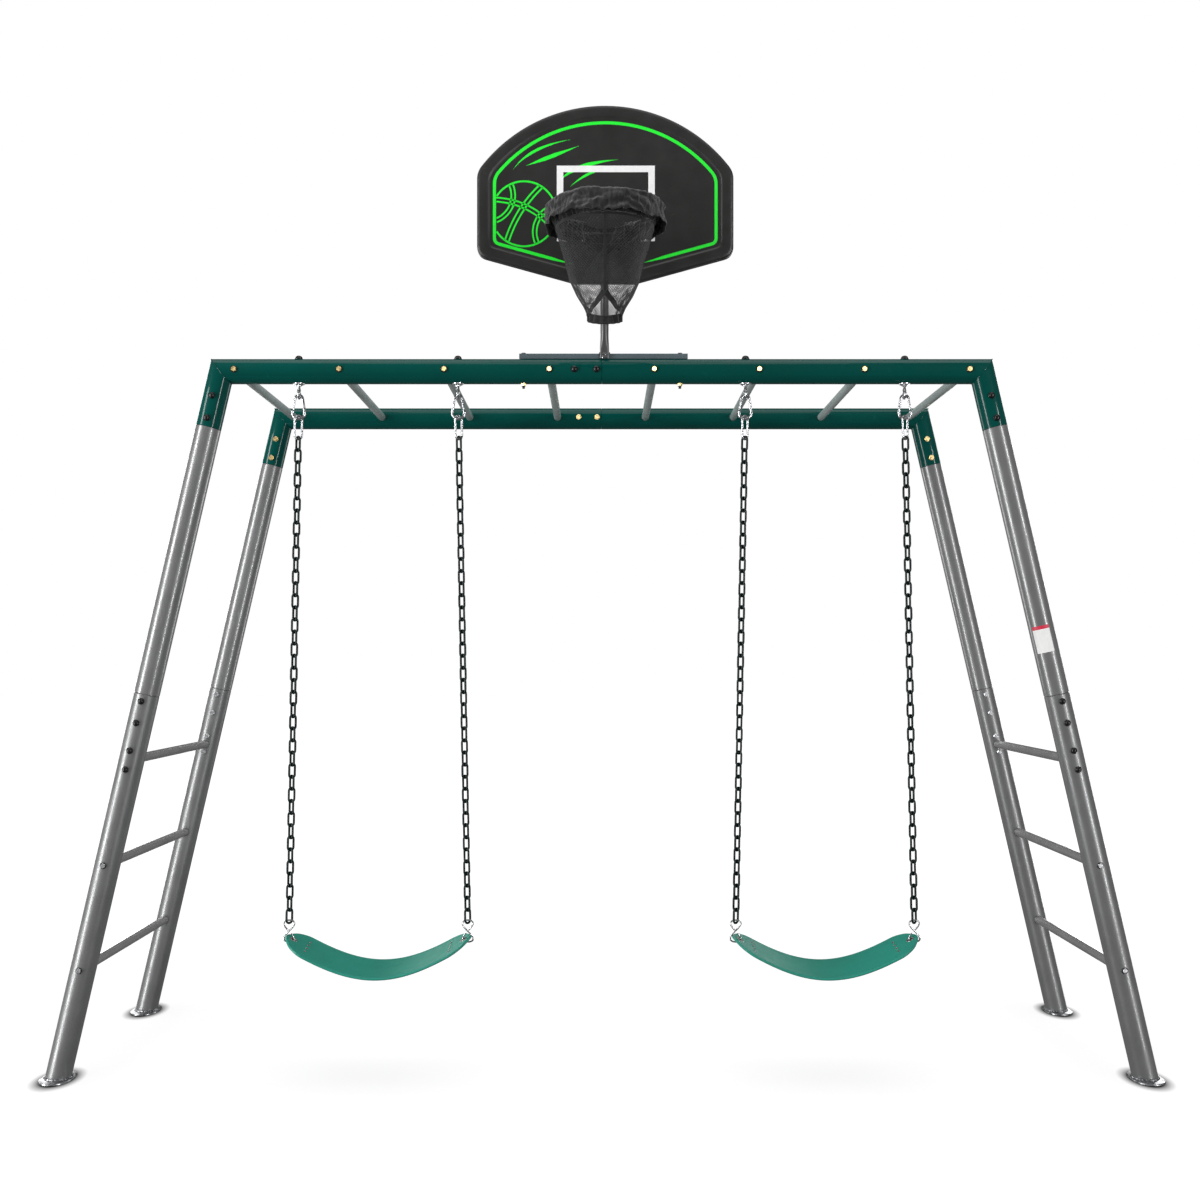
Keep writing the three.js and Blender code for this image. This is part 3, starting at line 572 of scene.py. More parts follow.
def upper_leg(side, hand, y, row):
    across = across_of(leg_direction(side))
    outer, inner, bore = TUBE_R, TUBE_R - TUBE_WALL, SPIGOT_R - TUBE_WALL
    top = ELBOW + 2 * GAP
    bottom = (BEAM_Z - LEG_SEAM_Z) / cos(LEG_TILT)
    stops = [(top - SPIGOT, SPIGOT_R, bore), (top - GAP / 2, SPIGOT_R, bore), (top, outer - EDGE, bore),
             (top + EDGE, outer, bore), (top + BORE_STEP, outer, inner), (bottom - BORE_STEP, outer, inner),
             (bottom - SEAM, outer, bore), (bottom, outer - SEAM, bore), (bottom + GAP / 2, SPIGOT_R, bore),
             (bottom + SPIGOT, SPIGOT_R, bore)]
    bm = bmesh.new()
    tube(bm, [(leg_point(side, y, d), across, r, b) for d, r, b in stops])
    make(f"{row}_{hand}_upper_leg_tube", bm, GREY, [f"{row}_{hand}_upper_leg"])


def stadium(inset, x, y, z):
    straight = (PLATE_SIZE[1] - PLATE_SIZE[0]) / 2
    return [Vector((x + u, y + v, z)) for u, v in racetrack(PLATE_SIZE[0] / 2 - inset, straight, 16)]


def foot(side, hand, y, row):
    """The oblong plate with rolled edges, and the rough weld that holds the leg on it."""
    x = side * FOOT_X
    thick = PLATE_SIZE[2]
    bm = bmesh.new()
    layers = [(0.0012, 0), (0, 0.0012), (0, thick - 0.0018), (0.0007, thick - 0.0006), (0.0022, thick)]
    loft(bm, [stadium(inset, x, y, z) for inset, z in layers])
    make(f"{row}_{hand}_foot_plate", bm, GALVANISED)
    ring = circle(leg_at(side, y, thick), X_AXIS / cos(LEG_TILT), Y_AXIS, TUBE_R, 180)
    radii = []
    for i, point in enumerate(ring):
        ripple = 0.00035 * sin(i * 0.9 + 3 * noise.noise(point * 30))
        radii.append(0.0034 + ripple + 0.0016 * noise.noise(point * 60))
    bead = bmesh.new()
    sweep(bead, [p + Z_AXIS * 0.0006 for p in ring], radii, 10, loop=True)
    make(f"{row}_{hand}_foot_weld", bead, GALVANISED)


def lower_leg(side, hand, y, row):
    across = across_of(leg_direction(side))
    level = Vector((across.x, 0, 0)) / across.x ** 2
    outer, inner = TUBE_R, TUBE_R - TUBE_WALL
    top = (BEAM_Z - LEG_SEAM_Z) / cos(LEG_TILT) + GAP * 1.5
    bottom = leg_at(side, y, PLATE_SIZE[2] - 0.001)
    bm = bmesh.new()
    tube(bm, [(leg_point(side, y, top), across, outer - SEAM, inner),
              (leg_point(side, y, top + SEAM), across, outer, inner), (bottom, level, outer, inner)])
    piece = make(f"{row}_{hand}_lower_leg_tube", bm, GREY_LOW, [f"{row}_{hand}_lower_leg"])
    holes = bmesh.new()
    for z in LADDER_Z:
        rung_cutter(holes, LADDER_R, leg_at(side, y, z).x, y, z)
    cut_out(piece, holes)
    foot(side, hand, y, row)


def rung(node, radius, finish):
    low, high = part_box(node)
    center = (low + high) / 2
    bm = bmesh.new()
    stops = [(low.y, radius - EDGE), (low.y + EDGE, radius), (high.y - EDGE, radius),
             (high.y, radius - EDGE), (high.y, radius - RUNG_WALL), (low.y, radius - RUNG_WALL)]
    loft(bm, [circle(Vector((center.x, y, center.z)), X_AXIS, Z_AXIS, r, 40) for y, r in stops], loop=True)
    make(f"{node}_tube", bm, finish, [node])


# ---------------------------------------------------------------- fasteners
def hex_head(bm, place, outward, apothem=0.0068, height=0.0048, washer=0.0):
    spot = facing(place, outward)
    base = -0.001
    if washer:
        revolve(bm, [(0, base), (washer, base), (washer, 0.0009), (washer - 0.0006, 0.0014),
                     (0, 0.0014)], spot)
        base = 0.0012
    top = base + height
    revolve(bm, [(0, base), (apothem, base, 1), (apothem, top - 0.0009, 1), (apothem * 0.94, top),
                 (apothem * 0.6, top), (apothem * 0.55, top - 0.0003), (0, top - 0.0003)], spot)


def dome_cap(bm, place, outward, radius=0.0088, height=0.0085):
    """A snap-on cap: a thin skirt and a rounded dome with a small flat."""
    profile = [(0, -0.001), (radius * 1.08, -0.001), (radius * 1.08, 0.0008), (radius, 0.0014)]
    for i in range(7):
        a = pi / 2 * i / 6
        profile.append((radius * 0.97 * cos(a), 0.002 + (height - 0.002) * sin(a)))
    profile[-1] = (0, height)
    revolve(bm, profile, facing(place, outward), 32)


def disc(bm, place, outward, radius, thick, hole=0.0):
    edge = min(0.0005, thick / 3)
    profile = [(hole, 0), (radius, 0), (radius, thick - edge), (radius - edge, thick), (hole, thick)]
    revolve(bm, profile, facing(place, outward), 32)


def surface_of_leg(side, y, z, outward):
    return leg_at(side, y, z) + outward * TUBE_R


BEAM_BOLTS_X = (-0.078, -0.015)
ELBOW_BOLTS_Z = (1.962, 1.898)
LEG_BOLTS_Z = (1.089, 1.027, 0.948, 0.894)
ELBOW_WASHER, LEG_WASHER = 0.009, 0.0085


def beam_fasteners(y, outward, rung_bolts, caps_and_shadow_discs, gold):
    """A bolt over each rung's end on a black disc, a painted shadow round its head, and two at the joint of
    the beam's halves.
    """
    face = outward * (TUBE_R - 0.0004)
    for x in MONKEY_X:
        seat = Vector((x, y, BEAM_Z)) + face
        # black disc a little wider than the head: a painted shadow round the bolt head
        disc(caps_and_shadow_discs, seat, outward, 0.0098, 0.0012)
        hex_head(rung_bolts, seat + outward * 0.0014, outward)
    for x in BEAM_BOLTS_X:
        seat = Vector((x, y, BEAM_Z)) + face
        if y < MIDDLE_Y:
            dome_cap(caps_and_shadow_discs, seat, outward)
        else:
            hex_head(gold, seat, outward, washer=ELBOW_WASHER)
        hex_head(gold, Vector((x, y, BEAM_Z)) - face, -outward, washer=ELBOW_WASHER)


def leg_fasteners(side, y, outward, caps_and_shadow_discs, gold, steel):
    """Capped through bolts at the elbow and the leg joint, and plain bolts at the ladder rungs, each on a
    black disc that is a painted shadow round its head.
    """
    joints = [(z, gold, ELBOW_WASHER) for z in ELBOW_BOLTS_Z] + [(z, steel, LEG_WASHER) for z in LEG_BOLTS_Z]
    for z, heads, washer in joints:
        dome_cap(caps_and_shadow_discs, surface_of_leg(side, y, z, outward), outward)
        hex_head(heads, surface_of_leg(side, y, z, -outward), -outward, washer=washer)
    for z in LADDER_Z[:2]:
        # black disc a little wider than the head: a painted shadow round the bolt head
        disc(caps_and_shadow_discs, surface_of_leg(side, y, z, outward * 0.99), outward, 0.0095, 0.0012)
        hex_head(steel, surface_of_leg(side, y, z, outward) + outward * 0.0009, outward)


def frame_fasteners():
    rung_bolts, caps_and_shadow_discs, gold, steel = (bmesh.new() for _ in range(4))
    rows = ((FRONT_Y, FRONT), (REAR_Y, BACK))
    for y, outward in rows:
        beam_fasteners(y, outward, rung_bolts, caps_and_shadow_discs, gold)
    make("monkey_rung_bolts", rung_bolts, GOLD)
    for side, _ in SIDES:
        for y, outward in rows:
            leg_fasteners(side, y, outward, caps_and_shadow_discs, gold, steel)
    # the real joint caps, and the black discs that paint the shadow round the rung bolt heads
    make("frame_joint_caps_and_shadow_discs", caps_and_shadow_discs, BLACK)
    make("beam_joint_bolts", gold, GOLD)
    make("leg_joint_bolts", steel, ZINC)


def build_frame():
    for row, y in (("front", FRONT_Y), ("rear", REAR_Y)):
        for side, hand in SIDES:
            beam(side, hand, y, row)
            upper_leg(side, hand, y, row)
            lower_leg(side, hand, y, row)
    for _, hand in SIDES:
        for i in (1, 2, 3):
            rung(f"{hand}_ladder_rung_{i}", LADDER_R, LADDER)
    for i in range(1, 9):
        rung(f"monkey_rung_{i}", MONKEY_R, RUNG)
    frame_fasteners()
    label()


LABEL_TOP, LABEL_SPLIT, LABEL_FOOT = 1.307, 1.297, 1.231
LABEL_WIDTH, LABEL_THICK = 0.05, 0.0002


def label():
    """A blank sticker wrapped on the right front leg, with a plain coloured header."""
    radius = TUBE_R + 0.00025
    middle_angle, half_angle = radians(-68), LABEL_WIDTH / 2 / radius
    across = across_of(leg_direction(1))
    parts = (("label_header", LABEL_RED, LABEL_TOP, LABEL_SPLIT),
             ("label_sheet", LABEL, LABEL_SPLIT, LABEL_FOOT))
    for name, finish, top, bottom in parts:
        high, low = leg_at(1, FRONT_Y, top), leg_at(1, FRONT_Y, bottom)
        rings = []
        for i in range(25):
            a = middle_angle + half_angle * (2 * i / 24 - 1)
            out = across * cos(a) + Y_AXIS * sin(a)
            rings.append([high + out * radius, low + out * radius,
                          low + out * (radius + LABEL_THICK), high + out * (radius + LABEL_THICK)])
        bm = bmesh.new()
        loft(bm, rings)
        make(name, bm, finish)


# ---------------------------------------------------------------- hoop
BAR_LOW, BAR_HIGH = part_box("hoop_bracket_bar")
BAR_BOLT_X = middle("bar_bolt_right").x
POLE_LOW, POLE_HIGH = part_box("hoop_pole")
POLE_X = middle("hoop_pole").x
POLE_R = 0.012
POLE_Y = POLE_LOW.y + POLE_R if POLE_LOW.y + POLE_R < FRONT_Y else FRONT_Y - 0.009
POLE_FLAT = 0.007
BOARD_LOW, BOARD_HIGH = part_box("backboard")
BOARD_X = (BOARD_LOW.x + BOARD_HIGH.x) / 2
BOARD_HALF = (BOARD_HIGH.x - BOARD_LOW.x) / 2
BOARD_HEIGHT = BOARD_HIGH.z - BOARD_LOW.z
BOARD_ARC = 0.448
BOARD_SLOPE = radians(15.4)
BOARD_FLAT = 0.085
RECESS = 0.004
FACE_Y = BOARD_LOW.y + RECESS
RIM_LOW, RIM_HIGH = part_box("hoop_rim")
RIM_WIRE = 0.006
RIM_R = (RIM_HIGH.x - RIM_LOW.x) / 2 - RIM_WIRE
RIM_CENTER = Vector((POLE_X, RIM_LOW.y + RIM_R + RIM_WIRE, RIM_HIGH.z - 0.012))
SLEEVE_LOW, SLEEVE_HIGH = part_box("rim_sleeve")


def arc_between(center, radius, start, end, steps):
    turns = [start + (end - start) * i / steps for i in range(steps + 1)]
    return [(center[0] + radius * cos(a), center[1] + radius * sin(a)) for a in turns]


def eased(start, control, end, steps):
    """A quadratic corner from start to end, without its first point."""
    points = []
    for i in range(1, steps + 1):
        t = i / steps
        points.append(tuple((1 - t) ** 2 * s + 2 * t * (1 - t) * c + t * t * e
                            for s, c, e in zip(start, control, end)))
    return points


def board_outline(inset):
    """Right half going up, top arc, left half going down, as (x, z) from the top centre."""
    half, arc = BOARD_HALF - inset, BOARD_ARC - inset
    bottom = -BOARD_HEIGHT + inset
    low = bottom + (half - BOARD_FLAT) * tan(BOARD_SLOPE)
    corner, shoulder = max(0.027 - 0.25 * inset, 0.012), 0.019
    run, rise = corner * cos(BOARD_SLOPE), corner * sin(BOARD_SLOPE)
    turn = acos(half / arc) + shoulder / arc
    peak = -BOARD_ARC + sqrt(arc * arc - half * half)
    side = [(BOARD_FLAT, bottom), (half - run, low - rise)]
    side += eased(side[-1], (half, low), (half, low + corner), 8)
    side.append((half, peak - shoulder))
    start = (arc * cos(turn), -BOARD_ARC + arc * sin(turn))
    side += eased(side[-1], (half, peak), start, 8)
    top = arc_between((0, -BOARD_ARC), arc, turn, pi - turn, 64)[1:-1]
    return side + top + [(-x, z) for x, z in reversed(side)]


def on_board(x, z, y):
    return Vector((BOARD_X + x, y, BOARD_HIGH.z + z))


BOARD_SKIN, BOARD_WALL, SPINE_HALF = 0.0095, 0.012, 0.035
RIB_HALF, RIB_LEVELS, RIB_OFFSETS = 0.003, (-0.11, 0, 0.11), (0.15, 0.26)


def backboard():
    """A moulded board: rounded edge, raised border, step down to the printed face, pockets behind."""
    front, back = BOARD_LOW.y, BOARD_HIGH.y
    layers = [(0.0015, back), (0, back - 0.0015), (0, front + 0.009), (0.0008, front + 0.0055),
              (0.0032, front + 0.0024), (0.0068, front + 0.0008), (0.0105, front + 0.0001),
              (0.0295, front), (0.0318, front + 0.0005), (0.0342, front + 0.002),
              (0.0365, FACE_Y - 0.0004), (0.0395, FACE_Y)]
    bm, pockets = bmesh.new(), bmesh.new()
    loft(bm, [[on_board(x, z, y) for x, z in board_outline(inset)] for inset, y in layers])
    piece = make("moulded_backboard", bm, BOARD, ["backboard"], sharp=28)
    loft(pockets, [[on_board(x, z, y) for x, z in board_outline(BOARD_WALL)]
                   for y in (back + 0.005, front + BOARD_SKIN)])
    cut_out(piece, pockets)
    board_ribs(front + BOARD_SKIN - 0.001, back)


def board_ribs(front, back):
    """The spine behind the pole, and thinner ribs that cross the pockets."""
    wall = BOARD_WALL / 2
    spine, ribs = bmesh.new(), bmesh.new()
    block(spine, (BOARD_X - SPINE_HALF, front, BOARD_LOW.z + wall),
          (BOARD_X + SPINE_HALF, back - 0.0004, BOARD_HIGH.z - wall))
    make("backboard_spine", spine, BOARD)
    middle_z = BOARD_HIGH.z - BOARD_HEIGHT * 0.52
    for level in RIB_LEVELS:
        width = BOARD_HALF - wall - (0.03 if level > 0.1 else 0)
        for side in (-1, 1):
            ends = sorted((BOARD_X + side * (SPINE_HALF - 0.001), BOARD_X + side * width))
            block(ribs, (ends[0], front, middle_z + level - RIB_HALF),
                  (ends[1], back - 0.002, middle_z + level + RIB_HALF))
    for side in (-1, 1):
        for offset in RIB_OFFSETS:
            x = BOARD_X + side * offset
            low = BOARD_LOW.z + wall + (offset - BOARD_FLAT) * tan(BOARD_SLOPE)
            high = BOARD_HIGH.z - BOARD_ARC + sqrt(BOARD_ARC ** 2 - offset ** 2) - wall
            block(ribs, (x - RIB_HALF, front, low), (x + RIB_HALF, back - 0.002, high))
    make("backboard_ribs", ribs, BOARD)


def block(bm, low, high, bevel=0.0):
    made = bmesh.ops.create_cube(bm, size=1)["verts"]
    for vert in made:
        for axis in range(3):
            vert.co[axis] = high[axis] if vert.co[axis] > 0 else low[axis]
    if bevel:
        edges = {edge for vert in made for edge in vert.link_edges}
        bmesh.ops.bevel(bm, geom=list(edges), offset=bevel, segments=3, affect="EDGES", profile=0.5)


BORDER_INSET, BORDER_WIDTH, FADE_STEP = 0.050, 0.0088, 0.004
BALL_CENTER, BALL_R, SEAM_WIDTH = (-0.2315, -0.309), 0.0925, 0.0046
SQUARE_X, SQUARE_HALF, SQUARE_LINE, SQUARE_TOP, SQUARE_FOOT = 0.0015, 0.1395, 0.0185, -0.172, -0.387
MOTION_ARCS = (((-0.262, -0.182), (-0.215, -0.118), (-0.10, -0.098), 0.0075),
               ((-0.225, -0.172), (-0.165, -0.150), (-0.075, -0.116), 0.011),
               ((-0.13, -0.215), (-0.085, -0.165), (0.035, -0.155), 0.012),
               ((-0.10, -0.232), (-0.05, -0.185), (0.02, -0.176), 0.007))


def ink_line(bm, points, width, closed=False, taper=0.0, layer=0):
    """A printed line of (x, z) points: a skin of ink 0.25 mm proud of the board's face."""
    count = len(points)
    near, far = FACE_Y + 0.0001, FACE_Y - 0.00025 - layer * 0.00012
    rings = []
    for i, (x, z) in enumerate(points):
        before, after = neighbours(points, i, closed)
        run = Vector((after[0] - before[0], after[1] - before[1])).normalized()
        half = width / 2
        if taper:
            half *= max(0.06, min(1.0, min(i, count - 1 - i) / (count - 1) / taper))
        if 0 < i < count - 1 or closed:
            arm = Vector((x - before[0], z - before[1])).normalized()
            half /= max(0.6, abs(arm.dot(run)))
        side = Vector((-run.y, run.x)) * half
        rings.append([on_board(x + way * side.x, z + way * side.y, y)
                      for way, y in ((1, near), (1, far), (-1, far), (-1, near))])
    loft(bm, rings, loop=closed)


def finely(points):
    """More points along straight stretches, so that ends can fade evenly."""
    fine = []
    for (x0, z0), (x1, z1) in zip(points, points[1:]):
        parts = max(1, round(hypot(x1 - x0, z1 - z0) / FADE_STEP))
        fine += [(x0 + (x1 - x0) * i / parts, z0 + (z1 - z0) * i / parts) for i in range(parts)]
    return fine + [points[-1]]


def inside_border(x, z):
    """True where a point lies inside the border line, beside its left edge and floor."""
    inset = BORDER_INSET + BORDER_WIDTH / 2
    floor_z = -BOARD_HEIGHT + inset + (abs(x) - BOARD_FLAT) * tan(BOARD_SLOPE)
    return x > -(BOARD_HALF - inset) and z > floor_z


def border_print():
    """The border follows the board's outline and fades out at the middle of its foot."""
    outline = board_outline(BORDER_INSET)
    rise = tan(BOARD_SLOPE)
    ends = [(BOARD_FLAT + 0.02, outline[0][1] + 0.02 * rise),
            (-BOARD_FLAT - 0.005, outline[-1][1] + 0.005 * rise)]
    border = bmesh.new()
    ink_line(border, finely(ends[:1] + outline[1:-1] + ends[1:]), BORDER_WIDTH, taper=0.04)
    make("border_line_print", border, INK_GREEN)


def ball_line(ball, points, width):
    """Prints only the runs of a line that lie on the ball and inside the border."""
    run = []
    for x, z in points + [(9, 9)]:
        on_ball = hypot(x - BALL_CENTER[0], z - BALL_CENTER[1]) < BALL_R + 0.001
        if inside_border(x, z) and on_ball:
            run.append((x, z))
            continue
        if len(run) > 2:
            ink_line(ball, run, width)
        run = []


def bowed_seam(turn, bend):
    """A line across the ball through its centre, bowed to one side."""
    along = (cos(turn), sin(turn))
    points = []
    for i in range(61):
        t = BALL_R * (2 * i / 60 - 1) * 0.99
        bow = bend(t / BALL_R)
        points.append((BALL_CENTER[0] + along[0] * t - along[1] * bow,
                       BALL_CENTER[1] + along[1] * t + along[0] * bow))
    return points


def ball_print():
    """A generic ball: its outline, two bowed seams and two side seams, each a double line."""
    ball = bmesh.new()
    ball_line(ball, arc_between(BALL_CENTER, BALL_R, 0, tau, 120), 0.0052)
    tilt = radians(58)
    across = tilt - radians(84)
    for offset in (-0.006, 0.006):
        for turn, bend in ((tilt, 0.012), (across, 0.02)):
            ball_line(ball, bowed_seam(turn, lambda share: bend * (1 - share ** 2) + offset), SEAM_WIDTH)
    for way in (-1, 1):
        reach = way * (1.28 * BALL_R)
        spot = (BALL_CENTER[0] + reach * cos(across), BALL_CENTER[1] + reach * sin(across))
        for offset in (-0.0055, 0.0055):
            ball_line(ball, arc_between(spot, 0.82 * BALL_R + offset, 0, tau, 120), SEAM_WIDTH)
    make("ball_line_print", ball, INK_GREEN)


def board_print():
    """Generic court graphics: border line, ball line art, motion arcs and shooter's square."""
    border_print()
    ball_print()
    arcs = bmesh.new()
    for start, control, end, width in MOTION_ARCS:
        ink_line(arcs, [start] + eased(start, control, end, 40), width, taper=0.4)
    make("motion_arc_print", arcs, INK_GREEN)
    target = bmesh.new()
    for way in (-1, 1):
        x = SQUARE_X + way * (SQUARE_HALF - SQUARE_LINE / 2)
        ink_line(target, [(x, SQUARE_FOOT), (x, SQUARE_TOP)], SQUARE_LINE, layer=1)
    reach = SQUARE_HALF - SQUARE_LINE
    for z in (SQUARE_TOP - SQUARE_LINE / 2, SQUARE_FOOT + SQUARE_LINE / 2):
        ink_line(target, [(SQUARE_X - reach, z), (SQUARE_X + reach, z)], SQUARE_LINE, layer=1)
    make("shooter_square_print", target, INK_WHITE)


CHANNEL_HALF, CHANNEL_HEIGHT = (BAR_HIGH.y - BAR_LOW.y) / 2, BAR_HIGH.z - BAR_LOW.z
CHANNEL_WALL, CHANNEL_FILLET = 0.003, 0.002
POLE_FLAT_Y = FRONT_Y - CHANNEL_HALF - GAP - POLE_FLAT / 2
POLE_FLARE_START, POLE_FLARE_RUN, POLE_FLARE_TOP = 0.008, 0.037, 0.062


def channel():
    """The inverted channel that sits on the front beam."""
    half, height, wall, fillet = CHANNEL_HALF, CHANNEL_HEIGHT, CHANNEL_WALL, CHANNEL_FILLET
    turns = [pi / 2 * i / 4 for i in range(5)]
    outline = [(half, -height)]
    outline += [(half - fillet + fillet * cos(a), -fillet + fillet * sin(a)) for a in turns]
    outline += [(-half + fillet - fillet * sin(a), -fillet + fillet * cos(a)) for a in turns]
    outline += [(-half, -height), (-half + wall, -height), (-half + wall, -wall), (half - wall, -wall),
                (half - wall, -height)]
    bm = bmesh.new()
    loft(bm, [[Vector((x, FRONT_Y + u, BAR_HIGH.z + v)) for u, v in outline]
              for x in (BAR_LOW.x, BAR_HIGH.x)])
    make("bracket_channel", bm, BAR, ["hoop_bracket_bar"])


def channel_bolts():
    """A through bolt at each end of the channel, with a nut below the beam."""
    washers, nuts = bmesh.new(), bmesh.new()
    below = Z_AXIS * (BAR_HIGH.z - BEAM_Z + TUBE_R)
    for side, hand in SIDES:
        spot = Vector((side * BAR_BOLT_X, FRONT_Y, BAR_HIGH.z))
        rod = bmesh.new()
        solid_bar(rod, spot - below - Z_AXIS * 0.013, spot + Z_AXIS * 0.002, 0.0039, 24)
        hex_head(rod, spot, UP, 0.0066, 0.0045)
        make(f"bracket_bolt_{hand}", rod, BLACK, [f"bar_bolt_{hand}"])
        hex_head(nuts, spot - below + Z_AXIS * 0.001, DOWN, 0.0066, 0.006, washer=0.0095)
        disc(washers, spot - Z_AXIS * 0.0002, UP, 0.009, 0.0012, 0.0035)
    make("bracket_bolt_washers", washers, BLACK)
    make("bracket_bolt_nuts", nuts, GOLD)


def pole_ring(at, wide, deep):
    turns = [tau * i / 40 for i in range(40)]
    return [at + X_AXIS * (wide * cos(a)) + Y_AXIS * (deep * sin(a)) for a in turns]


def pole():
    """A round tube whose foot is pinched flat against the channel."""
    stations = []
    for i in range(25):
        z = BAR_HIGH.z - CHANNEL_HEIGHT + i / 24 * POLE_FLARE_TOP
        share = min(1.0, max(0.0, (z - BAR_HIGH.z - POLE_FLARE_START) / POLE_FLARE_RUN))
        share = share * share * (3 - 2 * share)
        at = Vector((POLE_X, POLE_FLAT_Y + (POLE_Y - POLE_FLAT_Y) * share, z))
        stations.append((at, POLE_R * (1.1 - 0.1 * share), POLE_FLAT / 2 + (POLE_R - POLE_FLAT / 2) * share))
    stations.append((Vector((POLE_X, POLE_Y, POLE_HIGH.z)), POLE_R, POLE_R))
    rings = [pole_ring(*station) for station in stations]
    rings += [pole_ring(at, wide - TUBE_WALL, deep - TUBE_WALL) for at, wide, deep in reversed(stations)]
    bm = bmesh.new()
    loft(bm, rings, loop=True)
    make("hoop_pole_tube", bm, POLE, ["hoop_pole"])


def pole_bolts():
    bolts = bmesh.new()
    face = Vector((POLE_X, POLE_FLAT_Y - POLE_FLAT / 2, BAR_HIGH.z - CHANNEL_HEIGHT / 2 - 0.001))
    hex_head(bolts, face, FRONT, 0.0063, 0.0055, washer=0.0085)
    for dx in (-0.0125, 0.0125):
        hex_head(bolts, face + Vector((dx, 0.004, 0.008)), FRONT, 0.0035, 0.003)
    for z in (BOARD_LOW.z + 0.05, BOARD_LOW.z + 0.2, POLE_HIGH.z - 0.02):
        hex_head(bolts, Vector((POLE_X, POLE_Y + POLE_R, z)), BACK, 0.0055, 0.0045, washer=0.008)
    make("pole_bolts", bolts, HOOK)


RIM_PLATE_HALF, RIM_PLATE_THICK, RIM_ARM_X, RIM_BOLT_X = 0.052, 0.003, 0.035, 0.038


def rim():
    """A bent wire ring on two arms and a bolted plate, with a small clip at its middle."""
    bm = bmesh.new()
    sweep(bm, circle(RIM_CENTER, X_AXIS, Y_AXIS, RIM_R, 96), RIM_WIRE, 16, loop=True)
    back, foot_z = BOARD_LOW.y - GAP, RIM_LOW.z
    face = back - RIM_PLATE_THICK
    block(bm, (POLE_X - RIM_PLATE_HALF, face, foot_z), (POLE_X + RIM_PLATE_HALF, back, RIM_HIGH.z), 0.001)
    for x in (-RIM_ARM_X, RIM_ARM_X):
        start = RIM_CENTER + Vector((x, sqrt(RIM_R ** 2 - x ** 2), 0))
        end = (start.x + 0.005, back - 0.002, start.z + 0.003)
        block(bm, start - Vector((0.005, 0.003, 0.003)), end, 0.0008)
    make("rim_ring", bm, RIM, ["hoop_rim"])
    bolts, clip = bmesh.new(), bmesh.new()
    for x in (-RIM_BOLT_X, RIM_BOLT_X):
        hex_head(bolts, Vector((POLE_X + x, face, foot_z + 0.014)), FRONT, 0.0058, 0.005, washer=0.0085)
    make("rim_plate_bolts", bolts, BLACK)
    block(clip, (POLE_X - 0.014, face - 0.0022, foot_z + 0.028),
          (POLE_X + 0.014, face, foot_z + 0.036), 0.0006)
    hex_head(clip, Vector((POLE_X, face - 0.002, foot_z + 0.032)), FRONT, 0.0035, 0.003)
    make("rim_center_clip", clip, HOOK)


SLEEVE_GAP = 0.40
SLEEVE_OUTER, SLEEVE_INNER = (SLEEVE_HIGH.x - SLEEVE_LOW.x) / 2 - 0.002, 0.1355
SLEEVE_ROUND = (SLEEVE_OUTER - SLEEVE_INNER) / 2
SLEEVE_SHOULDER = SLEEVE_HIGH.z - SLEEVE_ROUND
SLEEVE_STEPS, FLAP_STEPS, FLAP_HANG = 420, 60, 0.036


def crumple(angle, height, scale):
    """Creases that run round the sleeve, broken up by short cross folds."""
    spot = Vector((cos(angle) * 1.2, sin(angle) * 1.2, height * 16))
    long_folds = 1.3 * noise.noise(spot * 2.1) + 0.8 * noise.noise(spot * 5.3)
    cross = 1 - 2 * abs(noise.noise(Vector((angle * 7.5, height * 14, 3.1))))
    fine = 1 - 2 * abs(noise.noise(Vector((angle * 19, height * 42, 8.4))))
    return scale * (long_folds + 0.6 * cross + 0.28 * fine)


def sleeve_profile():
    """Up the outside, over the rim and down the inside: (radius, height, side) stations."""
    drop = SLEEVE_SHOULDER - SLEEVE_LOW.z
    profile = [(SLEEVE_OUTER, SLEEVE_LOW.z + drop * i / 18, 1) for i in range(19)]
    for i in range(1, 14):
        a = pi * i / 14
        profile.append((SLEEVE_OUTER - SLEEVE_ROUND + SLEEVE_ROUND * cos(a),
                        SLEEVE_SHOULDER + SLEEVE_ROUND * sin(a), 1))
    return profile + [(SLEEVE_INNER, SLEEVE_SHOULDER - drop * i / 18, -1) for i in range(19)]


def sleeve_column(bm, angle, profile, hang=0.0):
    """One section of the cloth, ragged and flared below and crumpled all over."""
    column = []
    for r, z, way in profile:
        share = (z - SLEEVE_LOW.z) / (SLEEVE_HIGH.z - SLEEVE_LOW.z)
        ragged = 0.009 * noise.noise(Vector((angle * 3, way, 7)))
        ragged += 0.005 * noise.noise(Vector((angle * 11, 2, way)))
        flare = (1 - share) ** 2 * (0.004 + 0.006 * noise.noise(Vector((angle * 2.4, 5, way))))
        reach = r + way * flare + crumple(angle, z + way * 0.04, 0.0052)
        reach += 0.006 * max(0.0, cos(angle - radians(18))) ** 6 * share
        lift = z + (1 - share) * (ragged - hang) + crumple(angle + 2, z, 0.0026)
        column.append(bm.verts.new((RIM_CENTER.x + cos(angle) * reach,
                                    RIM_CENTER.y + sin(angle) * reach, lift)))
    return column


